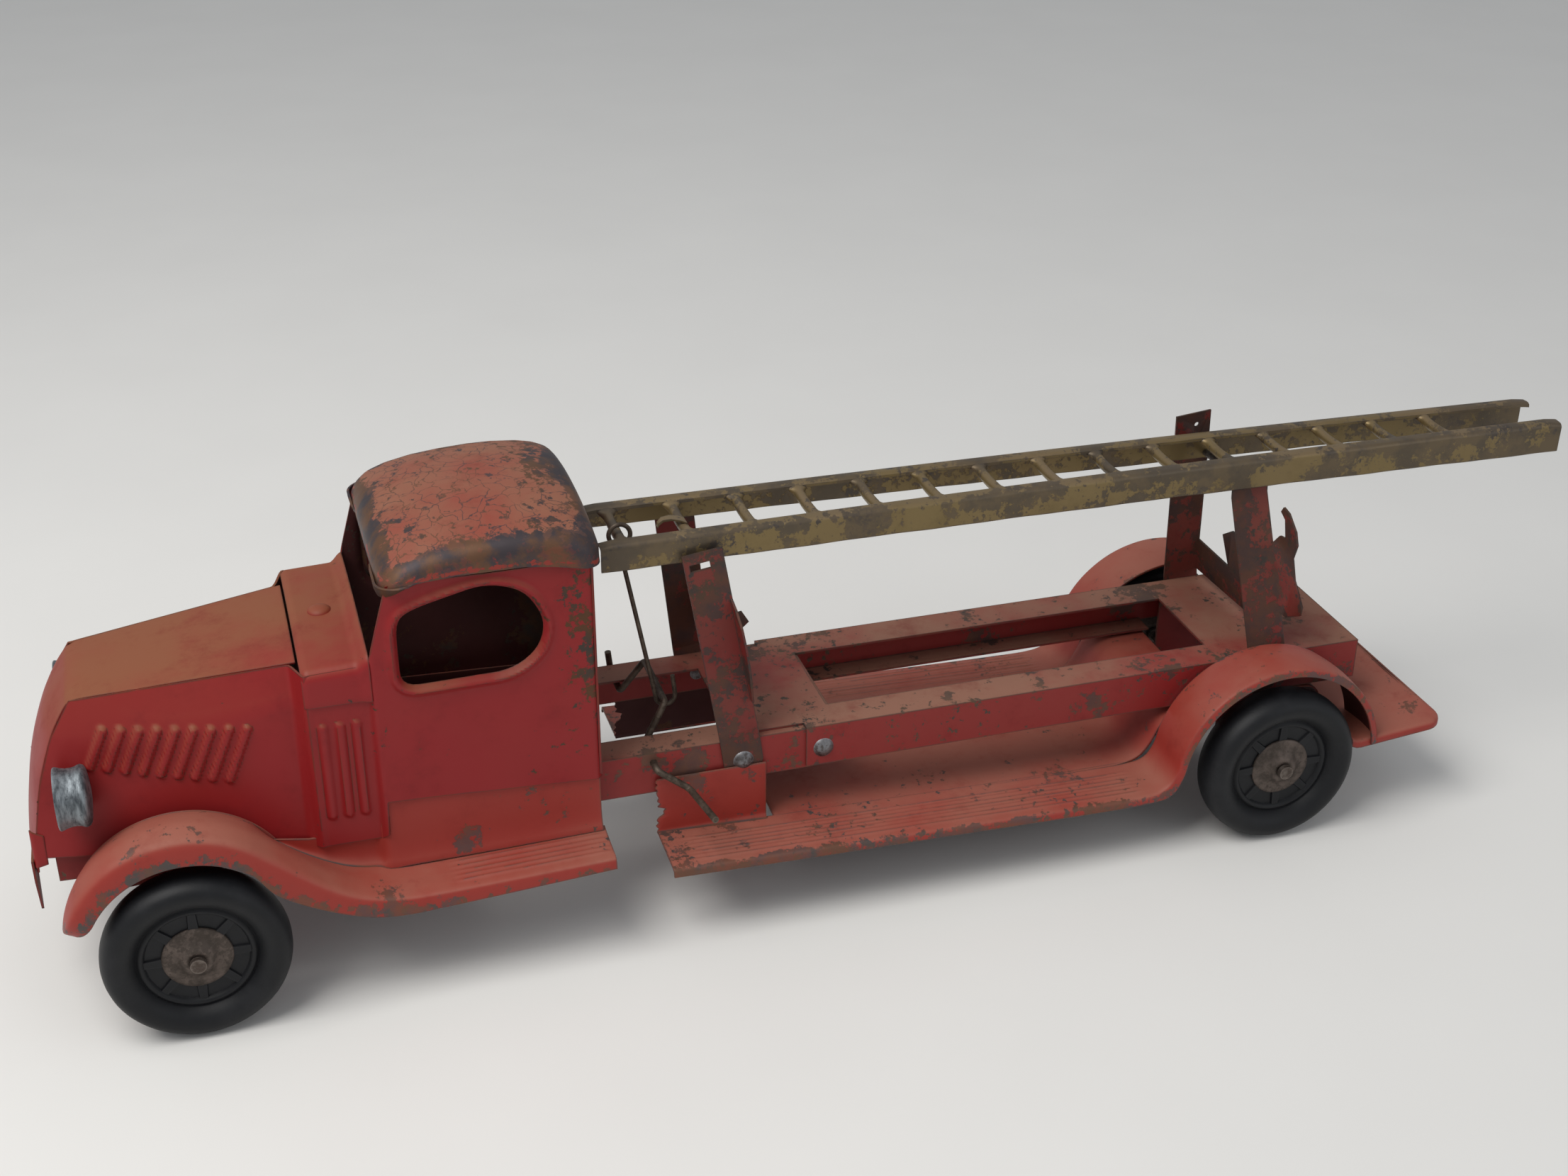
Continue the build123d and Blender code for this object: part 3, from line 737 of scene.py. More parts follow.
def use_group(tree: bpy.types.NodeTree, group: bpy.types.NodeTree,
              inputs: dict[Union[str, int], Value]) -> bpy.types.Node:
    """Place a shader group in a material.

    Args:
        tree: The tree to add to.
        group: The shader group.
        inputs: Values or output sockets for its inputs, by name.

    Returns:
        The group node.
    """
    node = tree.nodes.new("ShaderNodeGroup")
    node.node_tree = group
    for key, value in inputs.items():
        if isinstance(value, bpy.types.NodeSocket):
            tree.links.new(value, node.inputs[key])
        else:
            node.inputs[key].default_value = value
    return node


def add_bump(tree: bpy.types.NodeTree, shader: bpy.types.Node, height: Value, reach: float) -> None:
    """Feed a height to a shader's normal, reach in metres."""
    bump = add_node(tree, "ShaderNodeBump", {"Height": height, "Distance": reach, "Strength": 0.8})
    tree.links.new(bump.outputs[0], shader.inputs["Normal"])


Colour = tuple[float, float, float, float]


@dataclass(frozen=True)
class WornEnamel:
    """Old enamel over steel: fading, grime, chips, scratches and rubbed edges."""

    name: str
    fresh: Colour
    faded: Colour
    metal: Colour = (0.055, 0.042, 0.035, 1.0)
    rust: Colour = (0.10, 0.045, 0.022, 1.0)
    tops: float = 0.75
    sides: float = 0.18
    chips: float = 0.3
    scratches: float = 0.25
    edges: float = 1.0
    rough: float = 0.42
    patches: float = 0.2
    rub_loss: float = 1.0
    sheen: float = 0.0

    def build(self, effects: Effects) -> bpy.types.Material:
        """Make the material.

        Args:
            effects: The shared groups.

        Returns:
            The material.
        """
        material, tree, shader, place = start_material(self.name)
        grime = use_group(tree, effects.grime, {"Place": place, "Scale": 11.0, "Tops": self.tops,
                                                "Sides": self.sides})
        edge = use_group(tree, effects.rubbed, {"Place": place, "Amount": self.edges})
        wear = add_node(tree, "ShaderNodeAttribute", attribute_name="rubbed").outputs["Fac"]
        cover = maths(tree, "ADD", self.chips, maths(tree, "MULTIPLY", wear, 0.55))
        chip = use_group(tree, effects.chips, {"Place": place, "Scale": 230.0, "Cover": cover})
        line = use_group(tree, effects.scratches, {"Place": place, "Cover": self.scratches})
        streak = noise(tree, place, 46.0, 6.0, 0.7, 5.0)
        colour = blended(tree, grime.outputs["Mask"], self.fresh, self.faded)
        deeper = tuple(0.62 * channel for channel in self.fresh[:3]) + (1.0,)
        colour = blended(tree, maths(tree, "MULTIPLY", ranged(tree, streak, 0.5, 0.75), 0.5),
                         colour, deeper)
        worn = maths(tree, "MAXIMUM", edge.outputs["Mask"], chip.outputs["Mask"])
        worn = maths(tree, "MAXIMUM", worn, maths(tree, "MULTIPLY", line.outputs["Mask"], 0.85))
        loss = maths(tree, "ADD", self.patches, maths(tree, "MULTIPLY", wear, self.rub_loss))
        patch = use_group(tree, effects.patches, {"Place": place, "Scale": 34.0, "Cover": loss})
        worn = maths(tree, "MAXIMUM", worn, maths(tree, "MULTIPLY", patch.outputs["Mask"], 0.8))
        bare = blended(tree, ranged(tree, noise(tree, place, 75.0, 5.0, 0.6, 6.0), 0.4, 0.6),
                       self.metal, self.rust)
        tree.links.new(blended(tree, worn, colour, bare), shader.inputs["Base Color"])
        dull = maths(tree, "ADD", self.rough, maths(tree, "MULTIPLY", grime.outputs["Mask"], 0.22))
        dull = maths(tree, "ADD", dull, maths(tree, "MULTIPLY", ranged(tree, streak, 0.35, 0.7),
                                              0.1))
        tree.links.new(dull, shader.inputs["Roughness"])
        shine = maths(tree, "MULTIPLY", worn, 0.45)
        tree.links.new(maths(tree, "MAXIMUM", shine, self.sheen), shader.inputs["Metallic"])
        shader.inputs["Specular IOR Level"].default_value = 0.32
        skin = noise(tree, place, 900.0, 2.0, 0.5, 7.0)
        height = maths(tree, "SUBTRACT", maths(tree, "MULTIPLY", skin, 0.18),
                       maths(tree, "MULTIPLY", worn, 0.6))
        add_bump(tree, shader, height, 0.00012)
        return material


@dataclass(frozen=True)
class TarnishedMetal:
    """Bare or plated metal with stains, spots and optional streaks along z."""

    name: str
    bright: Colour
    dark: Colour
    rough: float = 0.4
    metallic: float = 0.85
    stretch: tuple[float, float, float] = (1.0, 1.0, 1.0)
    scale: float = 120.0
    edges: float = 0.5

    def build(self, effects: Effects) -> bpy.types.Material:
        """Make the material.

        Args:
            effects: The shared groups.

        Returns:
            The material.
        """
        material, tree, shader, place = start_material(self.name)
        moved = add_node(tree, "ShaderNodeMapping",
                         {"Vector": place, "Scale": self.stretch}).outputs[0]
        stain = noise(tree, moved, self.scale, 6.0, 0.7, 1.0)
        spots = use_group(tree, effects.chips, {"Place": place, "Scale": 420.0, "Cover": 0.75})
        edge = use_group(tree, effects.rubbed, {"Place": place, "Amount": self.edges})
        colour = blended(tree, ranged(tree, stain, 0.36, 0.66), self.bright, self.dark)
        colour = blended(tree, maths(tree, "MULTIPLY", spots.outputs["Mask"], 0.7), colour,
                         self.dark)
        lighter = tuple(min(1.0, 1.5 * channel) for channel in self.bright[:3]) + (1.0,)
        colour = blended(tree, maths(tree, "MULTIPLY", edge.outputs["Mask"], 0.6), colour, lighter)
        tree.links.new(colour, shader.inputs["Base Color"])
        shader.inputs["Metallic"].default_value = self.metallic
        tree.links.new(maths(tree, "ADD", self.rough, maths(tree, "MULTIPLY", stain, 0.3)),
                       shader.inputs["Roughness"])
        height = maths(tree, "SUBTRACT", maths(tree, "MULTIPLY", stain, 0.5),
                       maths(tree, "MULTIPLY", spots.outputs["Mask"], 0.4))
        add_bump(tree, shader, height, 0.00015)
        return material


@dataclass(frozen=True)
class AgedRubber:
    """Hard old rubber, scuffed and dusty."""

    name: str
    colour: Colour
    dust: Colour
    rough: float = 0.55

    def build(self, effects: Effects) -> bpy.types.Material:
        """Make the material.

        Args:
            effects: The shared groups.

        Returns:
            The material.
        """
        material, tree, shader, place = start_material(self.name)
        scuff = use_group(tree, effects.scratches, {"Place": place, "Scale": 70.0, "Width": 0.015,
                                                    "Cover": 0.35})
        edge = use_group(tree, effects.rubbed, {"Place": place, "Reach": 0.0016, "Amount": 0.7,
                                                "Breakup": 60.0})
        cloud = noise(tree, place, 40.0, 6.0, 0.65, 2.0)
        dusty = maths(tree, "MULTIPLY", ranged(tree, cloud, 0.42, 0.78), 0.3)
        dusty = maths(tree, "MAXIMUM", dusty, maths(tree, "MULTIPLY", edge.outputs["Mask"], 0.35))
        dusty = maths(tree, "MAXIMUM", dusty, maths(tree, "MULTIPLY", scuff.outputs["Mask"], 0.25))
        tree.links.new(blended(tree, dusty, self.colour, self.dust), shader.inputs["Base Color"])
        tree.links.new(maths(tree, "ADD", self.rough, maths(tree, "MULTIPLY", cloud, 0.2)),
                       shader.inputs["Roughness"])
        shader.inputs["Specular IOR Level"].default_value = 0.3
        add_bump(tree, shader, noise(tree, place, 500.0, 4.0, 0.7, 3.0), 0.00012)
        return material


Finish = Union[WornEnamel, TarnishedMetal, AgedRubber]


class Paintbox:
    """Every finish of the truck, made once and handed out by slot."""

    FINISHES: dict[str, Finish] = {
        "body_paint": WornEnamel("body_red", (0.25, 0.008, 0.011, 1), (0.23, 0.082, 0.036, 1),
                                 tops=0.85, sides=0.06, chips=0.36, patches=0.1, rub_loss=0.35),
        "roof_paint": WornEnamel("roof_red", (0.25, 0.026, 0.018, 1), (0.25, 0.102, 0.060, 1),
                                 metal=(0.055, 0.045, 0.05, 1), rust=(0.13, 0.065, 0.036, 1),
                                 tops=0.95, sides=0.1, chips=0.7, scratches=1.3, edges=2.2,
                                 patches=0.3, rub_loss=1.0, rough=0.38),
        "fender_paint": WornEnamel("fender_red", (0.29, 0.026, 0.018, 1), (0.31, 0.110, 0.075, 1),
                                   metal=(0.085, 0.07, 0.066, 1), rust=(0.15, 0.07, 0.045, 1),
                                   tops=0.85, sides=0.06, chips=0.5, edges=2.2, rough=0.42,
                                   patches=0.40, rub_loss=0.75),
        "frame_paint": WornEnamel("frame_red", (0.24, 0.013, 0.014, 1), (0.26, 0.120, 0.080, 1),
                                  metal=(0.075, 0.06, 0.052, 1), rust=(0.12, 0.075, 0.05, 1),
                                  tops=1.0, sides=0.12, chips=0.6, scratches=0.5, edges=2.2,
                                  rough=0.46, patches=0.56),
        "bracket_paint": WornEnamel("bracket_red", (0.17, 0.012, 0.012, 1), (0.11, 0.050, 0.033, 1),
                                    metal=(0.05, 0.042, 0.038, 1), rust=(0.085, 0.048, 0.032, 1),
                                    tops=0.7, sides=0.55, chips=0.62, scratches=0.5, edges=2.4,
                                    rough=0.44, patches=0.95),
        "ladder_finish": WornEnamel("ladder_bronze", (0.20, 0.145, 0.060, 1),
                                    (0.21, 0.150, 0.085, 1), metal=(0.075, 0.062, 0.052, 1),
                                    rust=(0.12, 0.090, 0.060, 1), tops=0.7, sides=0.3, chips=0.62,
                                    scratches=0.7, edges=1.4, rough=0.30, patches=0.78, sheen=0.5),
        # painted shade: near-black red on the sheets' inner faces stands in for the shade inside
        # the cab and under the panels
        "inner_face": WornEnamel("inner_face", (0.050, 0.008, 0.008, 1), (0.06, 0.022, 0.016, 1),
                                 tops=0.4, sides=0.2, chips=0.5, edges=0.6, rough=0.6, patches=0.4),
        "lamp_zinc": TarnishedMetal("lamp_zinc", (0.27, 0.30, 0.32, 1), (0.07, 0.08, 0.09, 1),
                                    stretch=(2.2, 1.0, 0.35), scale=220.0, rough=0.42),
        "hub_steel": TarnishedMetal("hub_steel", (0.125, 0.095, 0.080, 1), (0.05, 0.038, 0.03, 1),
                                    rough=0.42, metallic=0.5),
        "axle_steel": TarnishedMetal("axle_steel", (0.20, 0.17, 0.15, 1), (0.08, 0.06, 0.05, 1)),
        "rivet_steel": TarnishedMetal("rivet_steel", (0.24, 0.24, 0.25, 1), (0.07, 0.055, 0.05, 1),
                                      rough=0.3),
        "wire_steel": TarnishedMetal("wire_steel", (0.13, 0.10, 0.075, 1), (0.05, 0.035, 0.025, 1),
                                     rough=0.42, metallic=0.6),
        "tyre_rubber": AgedRubber("tyre_rubber", (0.0050, 0.0055, 0.0070, 1),
                                  (0.032, 0.032, 0.036, 1), rough=0.42),
    }

    def __init__(self) -> None:
        """Build the groups and all the materials."""
        effects = Effects()
        self.made = {slot: finish.build(effects) for slot, finish in self.FINISHES.items()}

    def paint(self, obj: bpy.types.Object, finish: str) -> None:
        """Give an object a finish in place of whatever it has, and a sheet's inner face a dark
        finish that is painted shade.

        Args:
            obj: The piece.
            finish: Name of the finish.
        """
        sheet = any(face.material_index for face in obj.data.polygons)
        indices = [min(face.material_index, 1) for face in obj.data.polygons]
        obj.data.materials.clear()
        obj.data.materials.append(self.made[finish])
        if sheet:
            # second slot: the dark painted-shade finish on the sheet's inner face
            obj.data.materials.append(self.made["inner_face"])
            obj.data.polygons.foreach_set("material_index", indices)


@dataclass
class Workshop:
    """What each sub-assembly needs to dress and mount its pieces."""

    paints: Paintbox

    def mount(self, obj: bpy.types.Object, body: str, finish: str, nodes: Sequence[str]) -> None:
        """Paint a piece, let it ride on a body and stand for CAD nodes.

        Args:
            obj: The piece.
            body: Name of the body that carries it.
            finish: Name of its finish.
            nodes: CAD nodes that it stands for.
        """
        self.paints.paint(obj, finish)
        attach(obj, body)
        if nodes:
            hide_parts(*nodes)
        LOG.info("%s on %s: %d faces", obj.name, body, len(obj.data.polygons))


# ---- repeated pieces ----------------------------------------------------------------------
def repeat_tree() -> bpy.types.NodeTree:
    """A Geometry Nodes tree that sets copies of an item along a line, each turned a step more.

    Returns:
        The tree.
    """
    tree = bpy.data.node_groups.new("repeated_item", "GeometryNodeTree")
    sockets = (("Geometry", "NodeSocketGeometry"), ("Item", "NodeSocketObject"),
               ("Count", "NodeSocketInt"), ("Start", "NodeSocketVector"),
               ("Step", "NodeSocketVector"), ("Turn", "NodeSocketFloat"),
               ("Finish", "NodeSocketMaterial"))
    for key, kind in sockets:
        tree.interface.new_socket(key, in_out="INPUT", socket_type=kind)
    tree.interface.new_socket("Geometry", in_out="OUTPUT", socket_type="NodeSocketGeometry")
    given = tree.nodes.new("NodeGroupInput").outputs
    line = add_node(tree, "GeometryNodeMeshLine", {"Count": given["Count"],
                                                   "Start Location": given["Start"],
                                                   "Offset": given["Step"]})
    item = add_node(tree, "GeometryNodeObjectInfo", {"Object": given["Item"]})
    angle = add_node(tree, "ShaderNodeMath",
                     {0: add_node(tree, "GeometryNodeInputIndex").outputs[0], 1: given["Turn"]},
                     operation="MULTIPLY")
    turn = add_node(tree, "ShaderNodeCombineXYZ", {"Y": angle.outputs[0]})
    copies = add_node(tree, "GeometryNodeInstanceOnPoints", {"Points": line.outputs[0],
                                                             "Instance": item.outputs["Geometry"],
                                                             "Rotation": turn.outputs[0]})
    real = add_node(tree, "GeometryNodeRealizeInstances", {0: copies.outputs[0]})
    dressed = add_node(tree, "GeometryNodeSetMaterial", {"Geometry": real.outputs[0],
                                                         "Material": given["Finish"]})
    out = tree.nodes.new("NodeGroupOutput")
    tree.links.new(dressed.outputs[0], out.inputs[0])
    return tree


@dataclass
class Repeater:
    """Sets a row or ring of copies with the shared Geometry Nodes tree."""

    tree: bpy.types.NodeTree
    finish: bpy.types.Material

    def run(self, name: str, item: bpy.types.Object, count: int, start: Sequence[float],
            step: Sequence[float], turn: float) -> bpy.types.Object:
        """Make the copies a plain mesh.

        Args:
            name: Name of the result.
            item: The piece to copy, which is removed.
            count: How many copies.
            start: Place of the first, in metres.
            step: From one to the next, in metres.
            turn: Turn about y between copies, in radians.

        Returns:
            A plain mesh object of all the copies.
        """
        holder = bpy.data.objects.new(name, bpy.data.meshes.new(name))
        bpy.context.scene.collection.objects.link(holder)
        modifier = holder.modifiers.new("repeat", "NODES")
        modifier.node_group = self.tree
        values: dict[str, Value] = {"Item": item, "Count": count, "Start": list(start),
                                    "Step": list(step), "Turn": turn, "Finish": self.finish}
        for socket in self.tree.interface.items_tree:
            if socket.in_out == "INPUT" and socket.name in values:
                modifier[socket.identifier] = values[socket.name]
        holder.update_tag()
        settle(holder, 50)
        holder.data.polygons.foreach_set("material_index", [0] * len(holder.data.polygons))
        holder.data.materials.clear()
        bpy.data.objects.remove(item)
        return holder


# ---- hood and cab -------------------------------------------------------------------------
NOSE_Z = (62.0, 73.0, 86.0, 104.0, 123.0, 137.5)
NOSE_X = (-57.6, -57.0, -55.0, -51.0, -44.0, -35.0)
NOSE_HALF = (36.2, 35.5, 33.5, 30.5, 27.5, 25.0)
WINDOW = ((93.2, 135.6), (93.4, 165.5), (100.0, 170.0), (130.0, 177.2), (145.5, 172.0),
          (153.6, 157.0), (150.0, 144.0), (138.0, 136.0))


@dataclass
class BodySide:
    """Hood side, cowl panel and cab side, pressed in one sheet."""

    cowl_half: float = 47.5
    cab_half: float = 50.0
    pitch: float = 0.9
    louvres: int = 9
    louvre_rise: float = 1.7
    ribs: tuple[float, ...] = (60.6, 67.4, 74.2)

    def outline(self) -> np.ndarray:
        """The pressing's edge in side view, with small bends at its corners.

        Returns:
            The (x, z) corners.
        """
        nose = [(x, z) for x, z in zip(NOSE_X[1:], NOSE_Z[1:])]
        rear = [(52.0, 145.6), (54.0, 146.0), (80.2, 147.0), (81.4, 151.0), (90.5, 182.5),
                (174.2, 182.5)]
        foot = [(174.2, 77.0), (150.0, 78.4), (117.0, 80.6), (83.4, 82.2), (82.6, 66.0),
                (80.0, 63.8), (52.0, 64.0), (49.0, 66.2), (-30.0, 71.6)]
        return np.array(nose + rear + foot)

    def louvre_field(self, x: np.ndarray, z: np.ndarray) -> np.ndarray:
        """Height of the slanted louvres over the hood side.

        Args:
            x: Distances along the truck.
            z: Heights.

        Returns:
            The push outwards at each point, in millimetres.
        """
        total = np.zeros_like(x)
        for k in range(self.louvres):
            share = k / (self.louvres - 1)
            top = np.array([-24.0 + 55.5 * share, 125.0 - 4.0 * share])
            end = np.array([-30.8 + 53.0 * share, 110.5 - 11.0 * share])
            run = end - top
            t = ((x - top[0]) * run[0] + (z - top[1]) * run[1]) / (run @ run)
            near_x = top[0] + np.clip(t, 0, 1) * run[0]
            near_z = top[1] + np.clip(t, 0, 1) * run[1]
            off = np.hypot(x - near_x, z - near_z)
            total = np.maximum(total, self.louvre_rise * ease((2.3 - off) / 1.5))
        return total

    def rib_field(self, x: np.ndarray, z: np.ndarray) -> np.ndarray:
        """Height of the upright ribs over the cowl panel.

        Args:
            x: Distances along the truck.
            z: Heights.

        Returns:
            The push outwards at each point, in millimetres.
        """
        total = np.zeros_like(x)
        for centre in self.ribs:
            off = np.hypot(x - centre, z - np.clip(z, 79.0, 121.0))
            total = np.maximum(total, 1.6 * ease((2.6 - off) / 1.8))
        return total

    def breadth(self, x: np.ndarray, z: np.ndarray) -> np.ndarray:
        """Half breadth of the pressing's outer face.

        Args:
            x: Distances behind the front axle.
            z: Heights.

        Returns:
            Half breadths.
        """
        nose_x, nose_half = np.interp(z, NOSE_Z, NOSE_X), np.interp(z, NOSE_Z, NOSE_HALF)
        rear_half = np.interp(z, (64.0, 131.0), (44.0, 40.0))
        along = np.clip((x - nose_x) / (52.0 - nose_x), 0, 1)
        lower = nose_half + (rear_half - nose_half) * along + 1.6 * np.sin(math.pi * along)
        share = np.clip((x + 35.0) / 87.0, 0.02, 1.0)
        crease_z, crease_half = 137.5 - 6.5 * share, 25.0 + 15.0 * share
        seam_z, seam_half = 137.5 + 8.4 * share, 25.0 + 10.3 * share
        upper = crease_half + (seam_half - crease_half) * (z - crease_z) / (seam_z - crease_z)
        half = np.where(x > -35.0, softer_low(lower, upper, 1.2), lower)
        half = half + self.louvre_field(x, z)
        bevel = ease((x - 49.6) / 6.0)
        half = half + (self.cowl_half - half) * bevel + 0.7 * np.exp(-((x - 55.4) / 1.6) ** 2)
        half = half + self.rib_field(x, z)
        half = half + (self.cab_half - self.cowl_half) * ease((x - 79.0) / 3.6)
        return half + self.cab_field(x, z)

    def cab_field(self, x: np.ndarray, z: np.ndarray) -> np.ndarray:
        """The bead round the window, the bent rear edge and slight dents of the cab side.

        Args:
            x: Distances along the truck.
            z: Heights.

        Returns:
            The push outwards at each point, in millimetres.
        """
        gap = distance_to_loop(np.stack([x, z], 1), self.window())
        bead = 1.9 * np.exp(-((gap - 2.6) / 1.75) ** 2) * (x > 82)
        lip = -1.6 * ease(1 - gap / 1.5) * (x > 82)
        rear = -2.6 * ease((x - 170.8) / 3.4) ** 2
        dents = 0.25 * np.sin(x * 0.13 + z * 0.05) * np.sin(z * 0.11) * ease((x - 84) / 10)
        return bead + lip + rear + dents

    def wear(self, points: np.ndarray) -> np.ndarray:
        """How chipped the pressing is: most near the cab's rear edge, the seams and the folds.

        Args:
            points: The mesh points in truck millimetres.

        Returns:
            Wear from 0 to 1 at each point.
        """
        x, z = points[:, 0], points[:, 2]
        rear = 0.8 * ease((x - 146) / 26) * ease((z - 84) / 12)
        seams = (0.55 * np.exp(-((x - 54.6) / 1.6) ** 2)
                 + 0.5 * np.exp(-((x - 81.0) / 2.0) ** 2) * (z < 131))
        gap = distance_to_loop(np.stack([x, z], 1), self.window())
        bead = 0.45 * np.exp(-((gap - 1.0) / 1.4) ** 2)
        lower = 0.3 * ease((84 - z) / 14) * (x < 60)
        return np.clip(rear + seams + bead + lower + 0.12 * (x > 84), 0, 1)

    def window(self) -> np.ndarray:
        """The window opening's loop."""
        return rounded_loop(WINDOW, 7.5)

    def build(self, shop: Workshop) -> None:
        """Make both sides.

        Args:
            shop: The workshop that finishes and places the pieces.
        """
        left = field_sheet("body_side_left_skin", self.outline(), [self.window()], self.pitch,
                           self.breadth)
        set_wear(left, self.wear(places(left)))
        thicken(left, Gauge.BODY, 0.0)
        right = opposite(left, "body_side_right_skin")
        for obj, side in ((left, Side.LEFT), (right, Side.RIGHT)):
            shop.mount(obj, "truck", "body_paint", [f"body_side_{side.word}"])


@dataclass
class HoodPanel:
    """Hood top and radiator front, one bent sheet."""

    inset: float = 0.75
    bulge: float = 3.3
    crown: float = 1.4
    columns: int = 41
    rows: int = 110

    def build(self, shop: Workshop) -> None:
        """Make the panel and its folded corner tabs.

        Args:
            shop: The workshop that finishes and places the pieces.
        """
        edge = [(53.6, 35.5, 146.0), (20.0, 31.5, 142.8), (-10.0, 28.0, 139.9),
                (-29.0, 25.7, 138.1), (-34.2, 25.0, 136.9), (-37.4, 25.3, 134.2),
                (-44.0, 27.5, 123.0), (-51.0, 30.5, 104.0), (-55.0, 33.5, 86.0),
                (-57.0, 35.5, 73.0), (-57.6, 36.2, 66.0)]
        across = np.linspace(-1, 1, self.columns)
        arch = 1 - np.abs(across) ** 2.2
        sections = []
        for x, half, z in resample(edge, self.rows):
            front = float(ease(np.array((136.0 - z) / 16.0)))
            section = np.stack([x - self.bulge * front * arch, (half - self.inset) * across,
                                z + self.crown * (1 - front) * arch], 1)
            sections.append(section)
        panel = face_towards(lofted("hood_panel_skin", sections), (-0.4, 0, 1))
        shop.mount(thicken(panel, Gauge.BODY), "truck", "body_paint", ["hood_panel"])
        self.tabs(shop)

    def tabs(self, shop: Workshop) -> None:
        """The small tabs folded back round the hood sides' front corners.

        Args:
            shop: The workshop that finishes and places the pieces.
        """
        for side in Side:
            sections = []
            for x in np.linspace(-58.2, -52.6, 7):
                fold = float(ease(np.array((-57.0 - x) / 1.4)))
                half = 36.4 + 0.35 * (x + 58.2) * 0.2 - 1.2 * fold
                lower, upper = 68.6 + 0.25 * (x + 58.2), 85.6 - 0.5 * (x + 58.2)
                rows = [(x, side.value * (half - (z - 68.6) * 0.14), z)
                        for z in np.linspace(lower, upper, 7)]
                sections.append(np.array(rows))
            tab = face_towards(lofted(f"radiator_tab_{side.word}", sections), (0, side.value, 0))
            shop.mount(thicken(tab, Gauge.LAMP), "truck", "body_paint", [])


@dataclass
class CowlCap:
    """The saddle ahead of the windscreen, its rear edge curled up, with a broad rivet."""

    half: float = 48.7
    foot: float = 131.2
    top: float = 147.6

    def section(self, lift: float, spread: float) -> np.ndarray:
        """The saddle's line across the truck.

        Args:
            lift: Height added to the top.
            spread: Breadth added to the sides.

        Returns:
            (y, z) points from the left foot to the right foot.
        """
        half, top = self.half + spread, self.top + lift
        corner = arc((-(half - 5.0), top - 5.0), 5.0, 180, 90, 9)
        left = [(-half, self.foot + t * (top - 5.0 - self.foot))
                for t in (0.0, 0.25, 0.5, 0.75)] + corner
        middle = [(y, top + 1.5 * (1 - (y / (half - 5)) ** 2))
                  for y in np.linspace(-(half - 6), half - 6, 25)]
        return np.array(left + middle + [(-y, z) for y, z in reversed(left)])

    def build(self, shop: Workshop) -> None:
        """Make the cap and its rivet head.

        Args:
            shop: The workshop that finishes and places the pieces.
        """
        sections = []
        stations = [54.4, 54.9, 55.6, 56.6] + list(np.linspace(58, 75, 12))
        stations += [76.2, 77.2, 78.2, 79.1, 79.9, 80.6, 81.2, 81.5]
        for x in stations:
            curl = float(ease(np.array((x - 75.8) / 5.7)))
            turn = -1.4 * float(ease(np.array((56.6 - x) / 2.2)))
            line = self.section(turn + 3.6 * curl + 0.04 * (x - 55), 0.5 * turn + 1.3 * curl)
            sections.append(np.column_stack([np.full(len(line), x), line]))
        cap = face_towards(lofted("cowl_cap_skin", sections), (0, 0, 1))
        shop.mount(thicken(cap, Gauge.BODY), "truck", "body_paint", ["cowl_cap"])
        dome = [(0.01, 151.6), (2.0, 151.45), (3.6, 150.9), (4.7, 150.1), (5.0, 149.2),
                (6.6, 148.9), (6.9, 148.0), (0.01, 148.0)]
        sections = [np.array([(67.0 + r * math.cos(a), r * math.sin(a), z) for r, z in dome])
                    for a in np.linspace(0, 2 * math.pi, 37)]
        head = settle(merge(lofted("cowl_rivet_head", sections, wrap=True), closed=True))
        shop.mount(head, "truck", "body_paint", ["cowl_rivet"])


